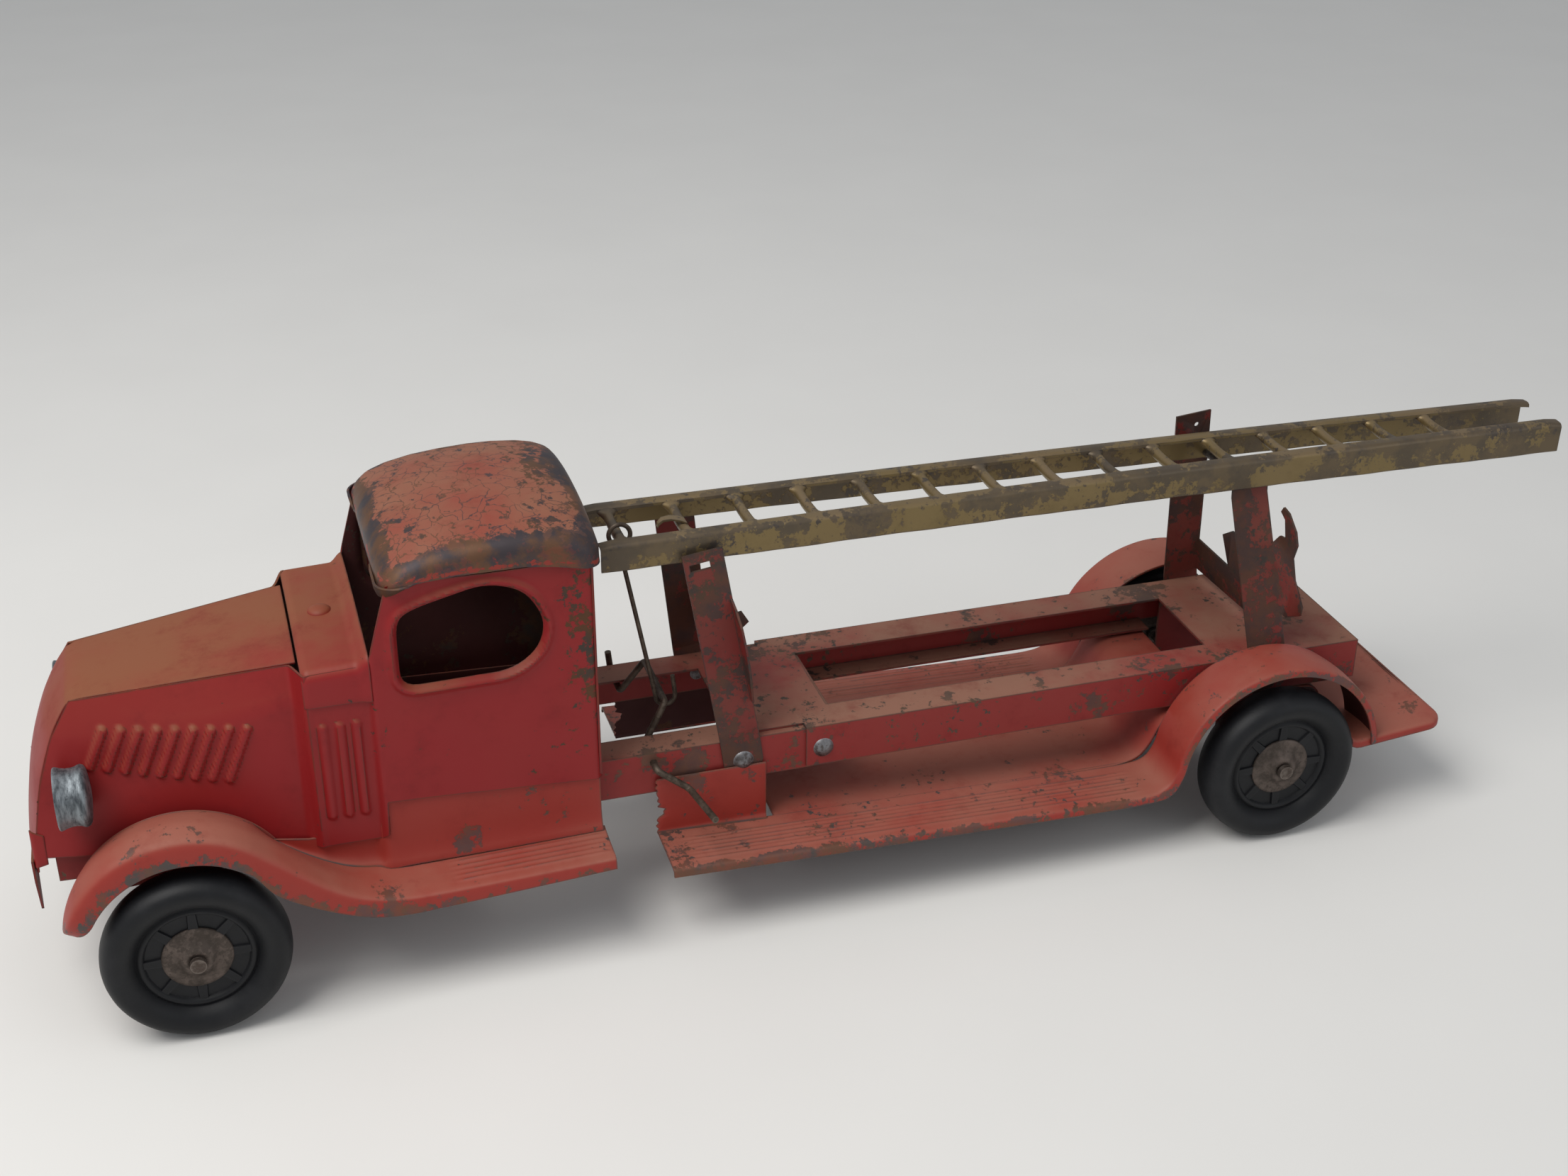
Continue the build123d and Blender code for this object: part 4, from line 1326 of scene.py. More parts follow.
@dataclass
class CabRoof:
    """The arched roof with rounded eaves and a turned-down skirt."""

    x_low: float = 87.6
    x_high: float = 177.6
    half: float = 52.6
    corner: float = 9.0
    eave: float = 5.5
    steps: int = 200

    @staticmethod
    def crest(x: np.ndarray, y: np.ndarray) -> np.ndarray:
        """Height of the roof's outer face."""
        spine = np.interp(x, (87, 91, 96, 104, 115, 127, 140, 150, 161, 168, 173, 178),
                          (188.0, 191.5, 194.6, 197.6, 199.9, 201.2, 201.9, 201.8, 200.8, 199.3,
                           197.4, 194.8))
        return spine - 6.6 * (np.abs(y) / 50.0) ** 2.3

    @staticmethod
    def hem(x: np.ndarray) -> np.ndarray:
        """Height of the skirt's lower edge."""
        return np.interp(x, (87, 104, 118, 146, 157, 171, 178),
                         (181.6, 183.2, 184.2, 184.2, 182.6, 179.6, 178.6))

    def ring(self, inset: float) -> np.ndarray:
        """The plan outline pulled in by a distance.

        Args:
            inset: How far the outline is pulled in.

        Returns:
            Evenly spaced (x, y) points of the closed outline.
        """
        low, high, half = self.x_low + inset, self.x_high - inset, self.half - inset
        radius = max(0.5, self.corner - inset * 0.4)
        radius = min(radius, half * 0.98)
        corners = ((high - radius, half - radius, 0), (low + radius, half - radius, 90),
                   (low + radius, radius - half, 180), (high - radius, radius - half, 270))
        loop = []
        for x, y, first in corners:
            loop += arc((x, y), radius, first, first + 90, 16)
        loop = np.array(loop + [loop[0]])
        run = np.concatenate([[0], np.cumsum(np.linalg.norm(np.diff(loop, axis=0), axis=1))])
        at = np.linspace(0, run[-1], self.steps, endpoint=False)
        return np.stack([np.interp(at, run, loop[:, k]) for k in (0, 1)], 1)

    def build(self, shop: Workshop) -> None:
        """Make the roof.

        Args:
            shop: The workshop that finishes and places the pieces.
        """
        sections = []
        outer = self.ring(0.0)
        shoulder = self.crest(outer[:, 0], outer[:, 1]) - self.eave
        for share in (0.0, 0.12, 0.35, 0.65, 1.0):
            hem = self.hem(outer[:, 0])
            flare = 0.5 * (1 - share) ** 3
            ring = outer + flare * np.sign(outer - outer.mean(0)) * 0.4
            sections.append(np.column_stack([ring, hem + share * (shoulder - hem)]))
        for angle in np.radians((15, 30, 45, 60, 75, 90)):
            ring = self.ring(self.eave * (1 - math.cos(angle)))
            drop = self.eave * (1 - math.sin(angle))
            sections.append(np.column_stack([ring, self.crest(ring[:, 0], ring[:, 1]) - drop]))
        for inset in np.linspace(self.eave + 2, self.x_high / 2 - self.x_low / 2 - 0.6, 16):
            ring = self.ring(inset)
            sections.append(np.column_stack([ring, self.crest(ring[:, 0], ring[:, 1])]))
        last = sections[-1]
        spine = last.copy()
        spine[:, 0] = 0.5 * (self.x_low + self.x_high)
        spine[:, 2] = self.crest(spine[:, 0], spine[:, 1])
        sections.append(spine)
        roof = face_towards(lofted("cab_roof_skin", sections, wrap=True), (0, 0, 1))
        x, y, z = places(roof).T
        inset = np.minimum(np.minimum(x - self.x_low, self.x_high - x), self.half - np.abs(y))
        eaves = np.exp(-((inset - 2.2) / 3.4) ** 2) * (z > self.hem(x) + 2.5)
        hem = 0.6 * ease((self.hem(x) + 1.6 - z) / 1.6)
        ends = 0.42 * ease((x - 140) / 34)
        set_wear(roof, 0.95 * eaves + hem + ends + 0.3 * ease((110 - x) / 24))
        shop.mount(thicken(roof, Gauge.BODY), "truck", "roof_paint", ["cab_roof"])


@dataclass
class Headlamps:
    """Waisted drums, open to the front."""

    centre: tuple[float, float, float] = (-38.0, 44.2, 105.0)
    radius: float = 12.7

    def build(self, shop: Workshop) -> None:
        """Make both lamps.

        Args:
            shop: The workshop that finishes and places the pieces.
        """
        skin = [(-6.4, 0.2), (-5.9, -0.1), (-5.0, 0.1), (-3.8, 0.6), (-2.0, 1.0), (0.2, 1.1),
                (2.0, 0.8), (3.0, 0.3), (4.0, 0.1), (5.2, 0.6), (6.0, 1.8), (6.4, 4.0)]
        outer = [(self.radius - drop, along) for along, drop in skin] + [(4.0, 7.0), (0.01, 7.2)]
        inner = [(radius - 0.7, along - 0.3) for radius, along in reversed(outer[1:-1])]
        for side in Side:
            x, y, z = self.centre
            drum = turned(f"headlamp_{side.word}_skin", outer + [(0.01, 6.4)] + inner, "x",
                          (x, side.value * y, z), 72, 0.16)
            peg = turned("peg", [(0.01, 0.0), (1.7, 0.0), (1.7, 6.0), (0.01, 6.0)], "y",
                         (x + 2, side.value * (y - self.radius - 2.0) - 3.0, z), 16)
            shop.mount(joined(f"headlamp_{side.word}_drum", [drum, peg]), "truck", "lamp_zinc",
                       [f"headlamp_{side.word}"])


# ---- fenders and boards -------------------------------------------------------------------
@dataclass
class Pressing:
    """A fender and board drawn from inner, crest and hem lines that share their stations."""

    stations: int = 170
    columns: int = 46

    def skin(self, name: str, inner: np.ndarray, crest: np.ndarray, hem: np.ndarray,
             breadths: np.ndarray, ridges: Field, closing: np.ndarray) -> bpy.types.Object:
        """Loft the crosswise bends.

        Args:
            name: The piece's name.
            inner: (x, z) line of the inner edge.
            crest: (x, z) line of the crest.
            hem: (x, z) line of the turned-down hem.
            breadths: Half breadths of inner edge, crest, shoulder and hem for each station.
            ridges: Height of the pressed grooves over x and half breadth.
            closing: Share of the full breadth at each station.

        Returns:
            The open sheet on the left side, facing up.
        """
        sections = []
        for k in range(len(crest)):
            y_in, y_crest, y_out, y_hem = breadths[k]
            shoulder = crest[k] * 0.86 + hem[k] * 0.14
            knots = [(y_in, *inner[k]),
                     (0.55 * y_in + 0.45 * y_crest, *(0.42 * inner[k] + 0.58 * crest[k])),
                     (y_crest, *crest[k]),
                     (0.4 * y_crest + 0.6 * y_out, *(0.96 * crest[k] + 0.04 * hem[k])),
                     (y_out, *shoulder),
                     (0.35 * y_out + 0.65 * y_hem, *(0.62 * crest[k] + 0.38 * hem[k])),
                     (y_hem, *hem[k])]
            line = resample(knots, self.columns)
            if closing[k] < 1.0:
                middle = np.array([y_crest, *crest[k]])
                line = middle + (line - middle) * closing[k]
            half, x, z = line[:, 0], line[:, 1], line[:, 2]
            sections.append(np.stack([x, -half, z + ridges(x, half)], 1))
        sheet = lofted(name, sections)
        across = np.tile(np.linspace(0, 1, self.columns), len(crest))
        along = np.repeat(np.arange(len(crest)) / len(crest), self.columns)
        hem_wear = ease((across - 0.74) / 0.2)
        nose = ease((0.06 - along) / 0.05)
        rim = np.maximum(hem_wear * (0.85 - 0.35 * along), 0.6 * nose)
        set_wear(sheet, rim + 0.12 * ease((0.12 - across) / 0.1))
        return face_towards(sheet, (0, 0, 1))


def grooves(x_span: tuple[float, float], half_span: tuple[float, float], count: int,
            rise: float) -> Field:
    """A field of parallel ridges along a board.

    Args:
        x_span: Where the ridges start and end.
        half_span: Half breadths of the first and last ridge.
        count: How many ridges.
        rise: Their height.

    Returns:
        Height as a function of x and half breadth.
    """
    def height(x: np.ndarray, half: np.ndarray) -> np.ndarray:
        """Height of the ridges at a point.

        Args:
            x: Distances along the truck.
            half: Half breadths.

        Returns:
            The height of the ridges at each point.
        """
        window = ease((x - x_span[0]) / 8) * ease((x_span[1] - x) / 5)
        phase = (half - half_span[0]) / (half_span[1] - half_span[0]) * (count - 1)
        near = np.abs(phase - np.round(phase)) * (half_span[1] - half_span[0]) / (count - 1)
        inside = (phase > -0.5) & (phase < count - 0.5)
        return rise * window * inside * ease(1 - near / 1.1)
    return height


@dataclass
class FrontWing(Pressing):
    """Front fender, S-bend and running board with the skirt under the cab."""

    def build(self, shop: Workshop) -> None:
        """Make both sides.

        Args:
            shop: The workshop that finishes and places the pieces.
        """
        count = self.stations
        crest = resample(arc((-2.0, 47.0), 48.3, 171, 52, 26)
                         + [(36.0, 78.0), (44.0, 70.8), (56.0, 60.8), (68.0, 53.8), (82.0, 50.2),
                            (98.0, 49.3), (130.0, 50.0), (174.0, 51.2)], count)
        hem = resample(arc((-1.0, 41.5), 41.5, 168, 48, 26)
                       + [(34.0, 62.0), (46.0, 53.8), (60.0, 46.8), (72.0, 42.6), (84.0, 41.0),
                          (98.0, 41.3), (130.0, 43.0), (174.0, 45.6)], count)
        inner = resample(arc((-1.5, 45.0), 46.0, 170, 50, 26)
                         + [(36.0, 70.2), (46.0, 62.0), (58.0, 55.0), (70.0, 51.6), (84.0, 50.8),
                            (98.0, 50.8), (130.0, 51.4), (174.0, 52.2)], count)
        flat = ease((crest[:, 0] - 52.0) / 34.0)
        breadths = np.column_stack([45.5 + 3.2 * flat, 60.0 - 1.0 * flat, 70.6 + 0.6 * flat,
                                    73.2 - 0.4 * flat])
        run = np.arange(count) / count
        closing = np.sqrt(np.clip(1 - (1 - np.clip(run / 0.055, 0, 1)) ** 2, 0.09, 1))
        wing = self.skin("front_wing_left_skin", inner, crest, hem, breadths,
                         grooves((104.0, 174.5), (54.0, 66.5), 5, 0.55), closing)
        thicken(wing, Gauge.BODY)
        skirt = self.skirt()
        plate = self.inner_plate()
        left = joined("front_wing_left_pressing", [wing, skirt, plate])
        right = opposite(left, "front_wing_right_pressing")
        for obj, side in ((left, Side.LEFT), (right, Side.RIGHT)):
            shop.mount(obj, "truck", "fender_paint", [f"front_wing_{side.word}"])

    @staticmethod
    def skirt() -> bpy.types.Object:
        """The upright sheet between the board and the cab side.

        Returns:
            The skirt, with its thickness.
        """
        sections = []
        for x in np.linspace(36.0, 173.0, 70):
            foot = float(np.interp(x, (36, 46, 58, 70, 84, 130, 174),
                                   (70.0, 61.8, 54.8, 51.4, 50.6, 51.2, 52.0)))
            top = float(np.interp(x, (36, 50, 60, 80, 81, 174),
                                  (70.6, 68.0, 68.0, 70.0, 85.0, 81.0)))
            half = 46.0 + 2.7 * float(ease(np.array((x - 76) / 6.0)))
            rows = [(x, -(half + 3.2 * (1 - t) ** 6), foot + t * (top - foot))
                    for t in np.linspace(0, 1, 14)]
            sections.append(np.array(rows))
        return thicken(face_towards(lofted("skirt", sections), (0, -1, 0)), Gauge.BODY)

    @staticmethod
    def inner_plate() -> bpy.types.Object:
        """The upright sheet between the fender's inner edge and the hood.

        Returns:
            The plate, with its thickness.
        """
        sections = []
        for x in np.linspace(-46.0, 40.0, 44):
            top = 45.0 + math.sqrt(max(0.0, 46.0 ** 2 - (x + 1.5) ** 2))
            low = float(np.interp(x, (-46, -36, 40), (52.0, 58.0, 62.0)))
            rows = [(x, -45.4, low + t * (max(top, low + 1.0) - low)) for t in np.linspace(0, 1, 6)]
            sections.append(np.array(rows))
        return thicken(face_towards(lofted("inner_plate", sections), (0, -1, 0)), Gauge.BODY)


@dataclass
class RearWing(Pressing):
    """Rear running board, upright plate and rear fender."""

    def build(self, shop: Workshop) -> None:
        """Make both sides.

        Args:
            shop: The workshop that finishes and places the pieces.
        """
        count = self.stations
        crest = resample([(199.0, 39.0), (260.0, 37.2), (330.0, 35.4), (400.0, 33.6), (425.0, 33.6),
                          (433.0, 36.4), (437.4, 43.0)] + arc((490.0, 36.0), 53.0, 164, 6, 40),
                         count)
        hem = resample([(199.0, 35.0), (260.0, 33.0), (330.0, 31.2), (400.0, 29.4), (427.0, 29.6),
                        (436.0, 32.0), (440.6, 40.0)] + arc((490.0, 36.0), 49.0, 166, 5, 40), count)
        inner = resample([(199.0, 39.4), (260.0, 37.6), (330.0, 35.8), (400.0, 34.0), (425.0, 34.0),
                          (434.0, 36.4), (438.6, 43.0)] + arc((490.0, 36.0), 51.6, 164, 6, 40),
                         count)
        up = ease((crest[:, 0] - 420.0) / 16.0)
        breadths = np.column_stack([42.4 + 1.6 * up, 57.0 + 0.0 * up, 69.8 + 0.2 * up,
                                    72.0 - 0.2 * up])
        wing = self.skin("rear_wing_left_skin", inner, crest, hem, breadths,
                         grooves((206.0, 424.0), (50.0, 66.0), 7, 0.5), np.ones(count))
        thicken(wing, Gauge.BODY)
        left = joined("rear_wing_left_pressing", [wing, self.plate(), self.pan()])
        right = opposite(left, "rear_wing_right_pressing")
        for obj, side in ((left, Side.LEFT), (right, Side.RIGHT)):
            shop.mount(obj, "truck", "fender_paint", [f"rear_wing_{side.word}"])

    @staticmethod
    def pan() -> bpy.types.Object:
        """The floor that carries the board in under the frame and bends up to it at the rear.

        Returns:
            The left half of the floor, with its thickness.
        """
        sections = []
        line = [(252.4, 37.6), (300.0, 36.4), (360.0, 34.8), (410.0, 33.6), (424.0, 34.0),
                (432.0, 37.0), (437.0, 44.0), (442.0, 53.0), (449.0, 57.4), (458.0, 58.2),
                (468.0, 58.3)]
        for x, level in resample(line, 90):
            rows = [(x, -y, level + 0.4 * math.sin(y * 0.12 + x * 0.02) * (level < 40))
                    for y in np.linspace(0.1, 43.6, 24)]
            sections.append(np.array(rows))
        return thicken(face_towards(lofted("pan", sections), (-0.3, 0, 1)), Gauge.BODY)

    @staticmethod
    def plate() -> bpy.types.Object:
        """The upright plate at the board's front end, with its torn edge.

        Returns:
            The plate, with its thickness.
        """
        sections = []
        for z in np.linspace(36.5, 66.5, 22):
            notch = 2.4 if 47 < z < 51 else 0.0
            torn = 199.4 + 0.7 * math.sin(z * 1.9) + 0.5 * math.sin(z * 4.1 + 1) + notch
            rows = [(x, -(42.3 + 1.8 * float(ease(np.array((40.0 - z) / 3.0)))), z)
                    for x in np.linspace(torn, 249.0, 12)]
            sections.append(np.array(rows))
        return thicken(face_towards(lofted("plate", sections), (0, -1, 0)), Gauge.BODY)


@dataclass
class TailStep:
    """The step at the tail, with rounded rear corners and edges turned down."""

    x_low: float = 529.0
    x_high: float = 578.8
    half: float = 70.6
    corner: float = 9.0
    roll: float = 2.2
    drop: float = 4.2

    def height(self, x: np.ndarray) -> np.ndarray:
        """Height of the step's upper face."""
        return 43.2 + (x - 534.0) * 0.094 + 2.0 * ease((533.0 - x) / 5.0)

    def edge(self, inset: float) -> np.ndarray:
        """The step's plan line from one front corner round the tail to the other.

        Args:
            inset: How far the line is pulled in.

        Returns:
            (x, y) points from the right front corner to the left one.
        """
        high, half, radius = self.x_high - inset, self.half - inset, self.corner
        right = [(x, half) for x in np.linspace(self.x_low, high - radius, 16, endpoint=False)]
        right += arc((high - radius, half - radius), radius, 90, 0, 12)
        tail = [(high, y) for y in np.linspace(half - radius, radius - half, 40)[1:-1]]
        return np.array(right + tail + [(x, -y) for x, y in reversed(right)])

    def build(self, shop: Workshop) -> None:
        """Make the step and the tongue that hangs it from the frame.

        Args:
            shop: The workshop that finishes and places the pieces.
        """
        sections = []
        outer = self.edge(0.0)
        top = self.height(outer[:, 0])
        for share in (1.0, 0.6, 0.25):
            lower = self.roll + (self.drop - self.roll) * share
            sections.append(np.column_stack([outer, top - lower]))
        for angle in np.radians((0, 22, 45, 68, 90)):
            ring = self.edge(self.roll * (1 - math.cos(angle)))
            lower = self.roll * (1 - math.sin(angle))
            sections.append(np.column_stack([ring, self.height(ring[:, 0]) - lower]))
        for share in np.linspace(0.06, 1.0, 14):
            ring = self.edge(self.roll)
            ring = ring * [1.0, 1.0 - share]
            ring[:, 0] -= share * np.clip(ring[:, 0] - 560, 0, None) * 0.02
            wave = 0.3 * math.sin(share * 7)
            sections.append(np.column_stack([ring, self.height(ring[:, 0]) + wave]))
        step = thicken(face_towards(lofted("step", sections), (0, 0, 1)), Gauge.BODY)
        rows = []
        for x, z in resample([(506.0, 58.6), (520.0, 58.4), (526.0, 55.0), (529.0, 48.0),
                              (534.0, 43.4)], 24):
            rows.append(np.array([(x, y, z) for y in np.linspace(-40.0, 40.0, 21)]))
        tongue = thicken(face_towards(lofted("tongue", rows), (0.3, 0, 1)), Gauge.BODY)
        shop.mount(joined("tail_step_pressing", [step, tongue]), "truck", "fender_paint",
                   ["rear_platform"])


# ---- wheels -------------------------------------------------------------------------------
@dataclass
class Wheels:
    """Rubber wheels with a moulded ring and spokes, and dished hub plates."""

    wheelbase: float = 490.0
    track_half: float = 68.0
    radius: float = 38.0
    spokes: int = 8

    def tyre_profile(self) -> list[tuple[float, float]]:
        """The tyre's cut, as (radius, breadth) points.

        Returns:
            The cut from one face round the tread to the other.
        """
        r = self.radius
        face = [(5.9, 3.5), (20.6, 3.5), (21.2, 4.6), (22.0, 5.3), (22.9, 5.3), (23.6, 4.5),
                (24.2, 4.2), (24.9, 5.4), (26.4, 7.4), (28.4, 8.9), (30.4, 9.7), (32.4, 9.9)]
        crown = [(34.2, 9.3), (35.7, 8.1), (36.9, 6.2), (37.6, 4.0), (r - 0.05, 1.9), (r, 0.0)]
        half = face + crown
        return half + [(radius, -breadth) for radius, breadth in reversed(half[:-1])]

    def spoke(self) -> bpy.types.Object:
        """One flat moulded spoke, standing up from the wheel's centre.

        Returns:
            The spoke, closed, at the frame datum.
        """
        sections = []
        for radius in (13.6, 16.0, 19.0, 21.4):
            w = 1.9 + 0.05 * (21.4 - radius)
            rise = 0.9
            loop = [(-w, 0.0), (-w + 0.35, rise), (w - 0.35, rise), (w, 0.0), (w, -0.4), (-w, -0.4)]
            sections.append(np.array([(x, y, radius) for x, y in loop]))
        obj = settle(merge(lofted("spoke", sections, wrap=True, caps=True), closed=True))
        obj.data.transform(Matrix.Translation((-DATUM_X, 0, 0)))
        return obj

    def hub_profile(self) -> list[tuple[float, float]]:
        """The hub plate's cut: a dished disc with a rolled nose."""
        skin = [(14.2, 3.7), (14.3, 4.3), (13.9, 4.8), (12.6, 4.9), (10.6, 5.0), (8.8, 5.5),
                (7.4, 6.4), (6.2, 7.7), (5.2, 8.3), (4.2, 8.3), (3.5, 7.8), (2.6, 7.6), (2.5, 3.7)]
        return skin

    def build(self, shop: Workshop, repeater: Repeater) -> None:
        """Make the four wheels.

        Args:
            shop: The workshop that finishes and places the pieces.
            repeater: Sets the ring of spokes.
        """
        for end, x in (("front", 0.0), ("rear", self.wheelbase)):
            for side in Side:
                name = f"{end}_{side.word}"
                centre = (x, side.value * self.track_half, self.radius)
                tyre = turned(f"tyre_{name}_skin", self.tyre_profile(), "y", centre, 128)
                shop.mount(tyre, f"wheel_{name}", "tyre_rubber", [f"tyre_{name}"])
                self.dress_faces(shop, repeater, name, centre, side)

    def dress_faces(self, shop: Workshop, repeater: Repeater, name: str,
                    centre: tuple[float, float, float], side: Side) -> None:
        """Add the spokes and hub plates of both faces of one wheel.

        Args:
            shop: The workshop.
            repeater: Sets the ring of spokes.
            name: The wheel's end and side.
            centre: The wheel's centre.
            side: The side that it is on.
        """
        for face, word in ((1, "outer"), (-1, "inner")):
            way = face * side.value
            ring = repeater.run(f"spokes_{word}_{name}", self.spoke(), self.spokes, (0, 0, 0),
                                (0, 0, 0), 2 * math.pi / self.spokes)
            if way < 0:
                ring.data.transform(Matrix.Scale(-1, 4, (0, 1, 0)))
                ring.data.flip_normals()
            shift = Vector((DATUM_X + centre[0] * MM, (centre[1] + way * 3.5) * MM, centre[2] * MM))
            ring.data.transform(Matrix.Translation(shift))
            shop.mount(ring, f"wheel_{name}", "tyre_rubber", [])
            profile = [(radius, way * breadth) for radius, breadth in self.hub_profile()]
            plate = turned(f"hub_{word}_{name}_skin", profile, "y", centre, 72, 0.05)
            shop.mount(plate, f"wheel_{name}", "hub_steel", [f"hub_{word}_{name}"])


# ---- ladder -------------------------------------------------------------------------------
@dataclass
class Ladder:
    """The stamped ladder: two rails turned down from one sheet and waisted rungs."""

    front_x: float = 183.0
    length: float = 473.5
    half: tuple[float, float] = (22.4, 16.8)
    depth: tuple[float, float] = (12.2, 15.2)
    rail_top: float = 7.4
    rungs: int = 15
    pitch: float = 28.83
    first: float = 10.9
    tilt: float = 0.5
    pivot_x: float = 485.0
    top_at_pivot: float = 170.8

    def at(self, pair: tuple[float, float], x: float) -> float:
        """A size that changes evenly along the ladder, at a distance from its front end."""
        return pair[0] + (pair[1] - pair[0]) * x / self.length

    def rail(self, side: Side) -> bpy.types.Object:
        """One rail in the ladder's own frame, its top face at z = 0.

        Args:
            side: Which rail.

        Returns:
            The closed rail.
        """
        sections = []
        for x in np.linspace(0, self.length, 150):
            half, depth = self.at(self.half, x), self.at(self.depth, x)
            end = float(ease(np.array((6.0 - min(x, self.length - x)) / 6.0)))
            inner = half - self.rail_top
            line = [(inner, -2.0), (inner + 0.2, -0.7), (inner + 1.2, 0.0), (inner + 2.4, 0.25)]
            line += arc((half - 2.2, -2.2), 2.2, 90, 0, 7)
            line += [(half, -0.6 * depth), (half, 0.4 - depth), (half - 0.4, -depth),
                     (half - 1.0, 0.3 - depth), (half - 1.0, -0.6 * depth)]
            line += arc((half - 2.2, -2.2), 1.2, 0, 90, 6)
            line += [(inner + 2.2, -0.8), (inner + 1.5, -1.0), (inner + 1.0, -2.0)]
            wave = 0.2 * math.sin(x * 0.09) + 0.15 * math.sin(x * 0.23 + side.value)
            droop = 0.7 * end
            sections.append(np.array([(x, side.value * (y + wave * min(1.0, -z / 8.0)),
                                       z - droop * (z > -3)) for y, z in line]))
        rail = merge(lofted(f"rail_{side.word}", sections, wrap=True, caps=True), closed=True)
        x, y, z = places(rail).T
        corner = np.exp(-((z + 1.5) / 1.6) ** 2) * (np.abs(y) > 14)
        ends = ease((x - 400) / 70) + 0.4 * ease((30 - x) / 30)
        return set_wear(rail, 0.25 * corner + 0.4 * ends)

    def rung(self) -> bpy.types.Object:
        """One rung, round in the middle and spread where it meets the rails.

        Returns:
            The closed rung, at the frame datum.
        """
        sections = []
        reach = 19.5
        for y in np.concatenate([np.linspace(-reach, -9.0, 12), np.linspace(-7.0, 7.0, 7),
                                 np.linspace(9.0, reach, 12)]):
            spread = float(ease(np.array((abs(y) - 10.0) / 5.0)))
            wide, tall = 2.3 + 2.4 * spread, 2.4 - 0.9 * spread
            lift = -0.35 - 1.0 * math.cos(min(1.0, abs(y) / 15.0) * math.pi / 2)
            loop = [(wide * math.cos(a), y, lift - tall + tall * math.sin(a))
                    for a in np.linspace(0, 2 * math.pi, 18, endpoint=False)]
            sections.append(np.array(loop))
        obj = merge(lofted("rung", sections, wrap=True, caps=True), closed=True)
        obj.data.transform(Matrix.Translation((-DATUM_X, 0, 0)))
        return obj

    def hook(self) -> bpy.types.Object:
        """The small tab bent forward from the second rung.

        Returns:
            The closed tab.
        """
        sections = []
        for x, z, w in ((41.0, -0.8, 3.2), (38.0, 0.6, 2.8), (34.0, 1.5, 2.2), (30.5, 1.2, 1.8),
                        (28.6, -0.4, 1.3), (28.2, -2.0, 0.8)):
            sections.append(np.array([(x, -5.0 - w, z), (x, -5.0 + w, z),
                                      (x + 0.4, -5.0 + w, z - 0.9), (x + 0.4, -5.0 - w, z - 0.9)]))
        return merge(lofted("hook", sections, wrap=True, caps=True), closed=True)

    def narrow(self, obj: bpy.types.Object) -> None:
        """Pull the rungs in so that their ends stay inside the closing rails.

        Args:
            obj: The row of rungs.
        """
        for vertex in obj.data.vertices:
            x = (vertex.co.x - DATUM_X) / MM
            vertex.co.y *= (self.at(self.half, x) - 1.2) / 19.5

    def seat(self, obj: bpy.types.Object) -> None:
        """Bow the ladder a little and put it in its place on the truck.

        Args:
            obj: The whole ladder in its own frame.
        """
        rise = (self.pivot_x - self.front_x) * math.tan(math.radians(self.tilt))
        for vertex in obj.data.vertices:
            x = (vertex.co.x - DATUM_X) / MM
            along = min(1.0, max(0.0, x / self.length))
            vertex.co.z += 1.3 * MM * math.sin(math.pi * along) - 0.9 * MM
        place = Matrix.Translation((DATUM_X + self.front_x * MM, 0,
                                    (self.top_at_pivot + rise) * MM))
        turn = Matrix.Rotation(math.radians(self.tilt), 4, "Y")
        obj.data.transform(place @ turn @ Matrix.Translation((-DATUM_X, 0, 0)))

    def build(self, shop: Workshop, repeater: Repeater) -> None:
        """Make the ladder.

        Args:
            shop: The workshop that finishes and places the pieces.
            repeater: Sets the row of rungs.
        """
        row = repeater.run("rungs", self.rung(), self.rungs, (DATUM_X + self.first * MM, 0, 0),
                           (self.pitch * MM, 0, 0), 0.0)
        self.narrow(row)
        whole = joined("ladder_stamping", [self.rail(Side.LEFT), self.rail(Side.RIGHT), row,
                                           self.hook()])
        self.seat(whole)
        shop.mount(settle(whole), "ladder", "ladder_finish", ["ladder"])


@dataclass
class RearBracket:
    """The rear bracket, its left upright bent back a little from its right one.

    The CAD node has the two uprights in line; only the look of the left one is bent.
    """

    foot_z: float = 80.0
    pin_z: float = 156.0
    foot_shift: float = 3.0
    top_shift: float = 3.4

    def build(self, shop: Workshop) -> None:
        """Make the bracket from the CAD shape.

        Args:
            shop: The workshop that finishes and places the pieces.
        """
        source = bpy.data.objects["rear_bracket"]
        mesh = source.data.copy()
        mesh.transform(source.matrix_world)
        obj = bpy.data.objects.new("rear_bracket_bent", mesh)
        bpy.context.scene.collection.objects.link(obj)
        merge(obj, closed=False)
        for vertex in obj.data.vertices:
            y, z = vertex.co.y / MM, vertex.co.z / MM
            share = float(ease(np.array((-y - 4.0) / 9.0)) * ease(np.array((z - 76.0) / 10.0)))
            rise = self.pin_z - self.foot_z
            shift = self.foot_shift + self.top_shift * (z - self.foot_z) / rise
            vertex.co.x += share * MM * shift
        shop.mount(settle(obj, 35), "truck", "bracket_paint", ["rear_bracket"])


# ---- kept nodes, stage --------------------------------------------------------------------
def dress_kept_nodes(paints: Paintbox, frame: dict) -> None:
    """Give each CAD node that is still shown its slot's finish.

    Args:
        paints: The finishes.
        frame: What the frame's load returned.
    """
    slots = {part["node"]: part["material_slot"] for part in frame["record"]["subparts"]}
    for name, obj in frame["nodes"].items():
        if not obj.hide_render:
            paints.paint(obj, slots[name])


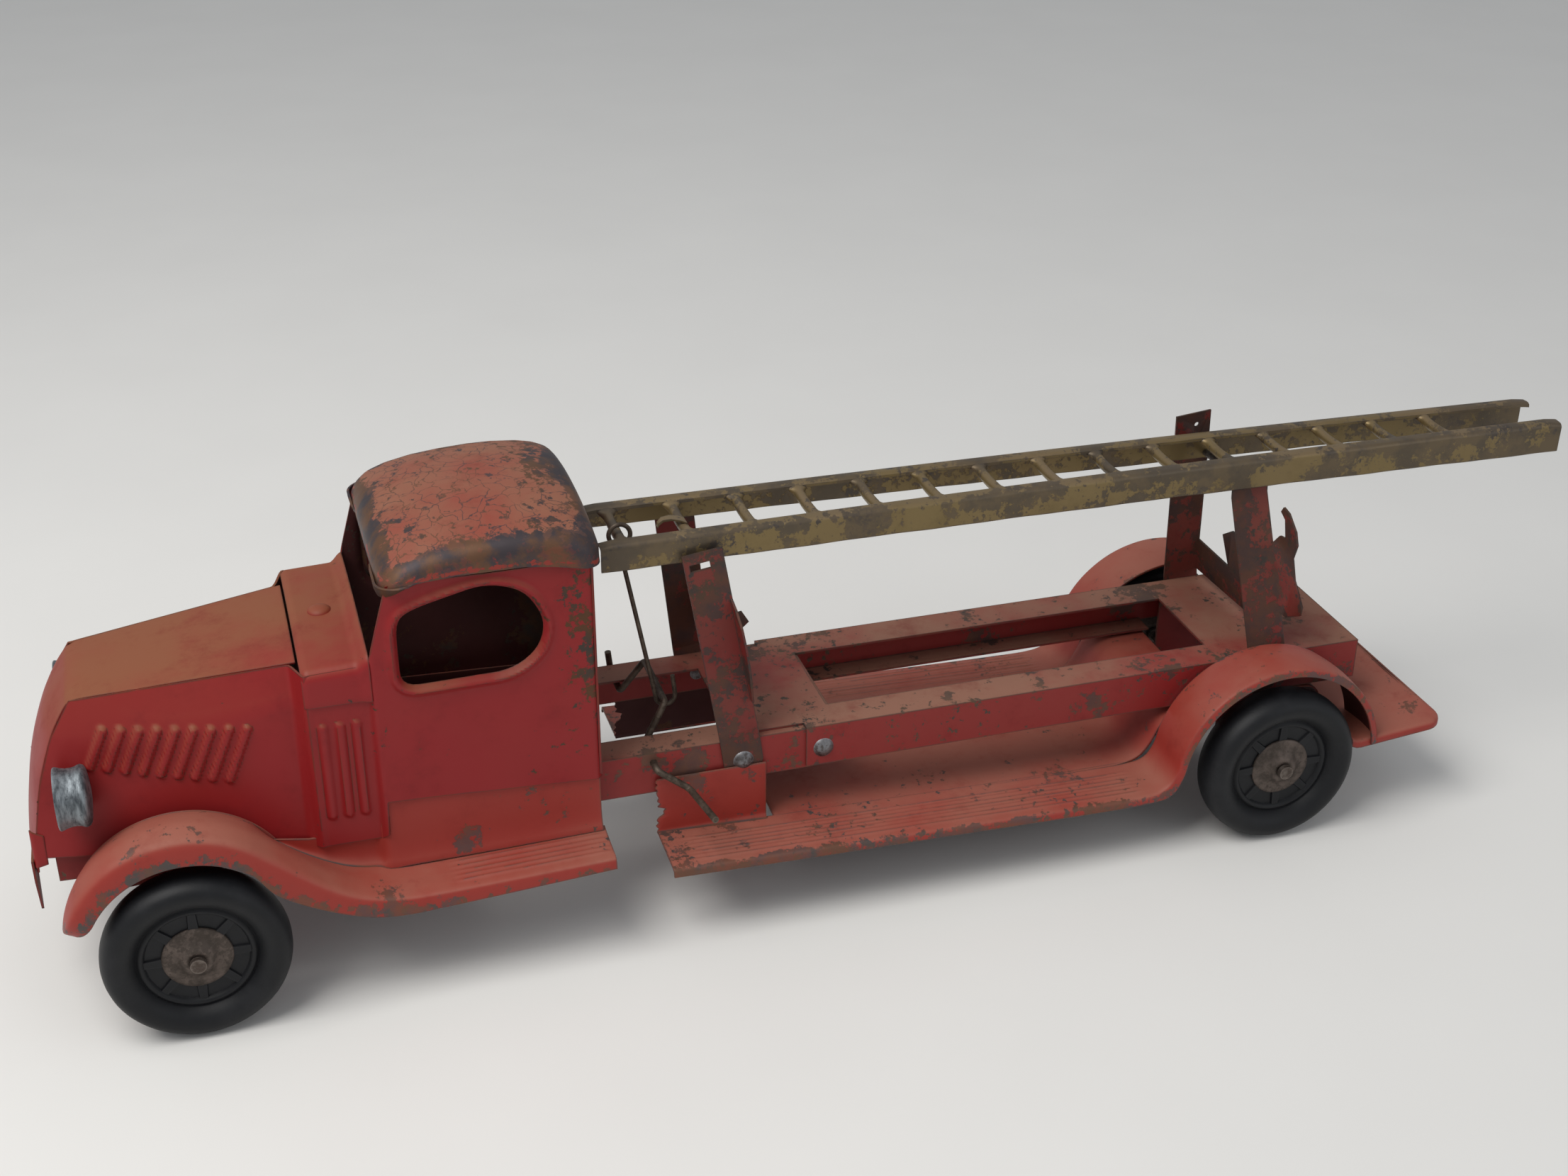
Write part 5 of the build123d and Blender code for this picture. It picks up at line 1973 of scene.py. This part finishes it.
@dataclass(frozen=True)
class Viewpoint:
    """The camera, its place given in truck millimetres."""

    place: tuple[float, float, float] = (28.72, -777.52, 561.44)
    azimuth: float = -17.24
    elevation: float = 27.98
    roll: float = 0.23
    lens: float = 47.29

    def build(self) -> None:
        """Make the camera and look through it."""
        az, el, roll = (math.radians(v) for v in (self.azimuth, self.elevation, self.roll))
        back = Vector((math.sin(az) * math.cos(el), -math.cos(az) * math.cos(el), math.sin(el)))
        right = (-back).cross(Vector((0, 0, 1))).normalized()
        up = right.cross(-back)
        turned_right = math.cos(roll) * right + math.sin(roll) * up
        turned_up = math.cos(roll) * up - math.sin(roll) * right
        data = bpy.data.cameras.new("viewpoint")
        data.lens = self.lens
        data.sensor_width = 36.0
        data.clip_end = 50
        camera = bpy.data.objects.new("viewpoint", data)
        bpy.context.scene.collection.objects.link(camera)
        turn = Matrix((turned_right, turned_up, back)).transposed().to_4x4()
        spot = Vector(self.place) * MM + Vector((DATUM_X, 0, 0))
        camera.matrix_world = Matrix.Translation(spot) @ turn
        bpy.context.scene.camera = camera


@dataclass(frozen=True)
class Studio:
    """Pale floor and soft lights."""

    floor: Colour = (0.80, 0.79, 0.765, 1.0)

    def build(self) -> None:
        """Make the floor, the lights and the surrounding light."""
        mesh = bpy.data.meshes.new("floor")
        mesh.from_pydata([(-6, -6, 0), (6, -6, 0), (6, 6, 0), (-6, 6, 0)], [], [(0, 1, 2, 3)])
        floor = bpy.data.objects.new("floor", mesh)
        bpy.context.scene.collection.objects.link(floor)
        material, tree, shader, place = start_material("pale_floor")
        cloud = noise(tree, place, 9.0, 3.0, 0.5, 1.0)
        darker = tuple(0.94 * channel for channel in self.floor[:3]) + (1.0,)
        tree.links.new(blended(tree, cloud, self.floor, darker), shader.inputs["Base Color"])
        shader.inputs["Roughness"].default_value = 0.9
        mesh.materials.append(material)
        world = bpy.data.worlds.new("surround")
        world.use_nodes = True
        world.node_tree.nodes["Background"].inputs[0].default_value = (0.93, 0.96, 1.0, 1)
        world.node_tree.nodes["Background"].inputs[1].default_value = 0.42
        bpy.context.scene.world = world
        bpy.context.scene.view_settings.view_transform = "Standard"
        self.light("key", (-0.85, -0.35, 1.5), 1.0, 21.0, (1.0, 0.98, 0.95))
        self.light("fill", (1.3, -1.4, 0.9), 1.4, 5.0, (0.95, 0.97, 1.0))

    @staticmethod
    def light(name: str, place: tuple[float, float, float], size: float, power: float,
              colour: tuple[float, float, float]) -> None:
        """Add a square area light that looks at the truck.

        Args:
            name: The lamp's name.
            place: Where it stands, in metres.
            size: Length of its sides in metres.
            power: Its power in watts.
            colour: Its colour.
        """
        data = bpy.data.lights.new(name, "AREA")
        data.size = size
        data.energy = power
        data.color = colour
        lamp = bpy.data.objects.new(name, data)
        bpy.context.scene.collection.objects.link(lamp)
        aim = (Vector(place) - Vector((0, 0, 0.08))).to_track_quat("Z", "Y")
        lamp.matrix_world = Matrix.Translation(place) @ aim.to_matrix().to_4x4()


def corners(bounds: object) -> list[list[float]]:
    """Bounds as plain lists."""
    return [[float(v) for v in corner] for corner in bounds]


def main() -> None:
    """Build the truck's looks on its CAD frame."""
    logging.basicConfig(level=logging.INFO)
    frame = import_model()
    paints = Paintbox()
    shop = Workshop(paints)
    tree = repeat_tree()
    for part in (BodySide(), HoodPanel(), CowlCap(), CabRoof(), Headlamps(), FrontWing(),
                 RearWing(), TailStep(), RearBracket()):
        part.build(shop)
    Wheels().build(shop, Repeater(tree, paints.made["tyre_rubber"]))
    Ladder().build(shop, Repeater(tree, paints.made["ladder_finish"]))
    dress_kept_nodes(paints, frame)
    Viewpoint().build()
    Studio().build()


if __name__ == "__main__":
    main()
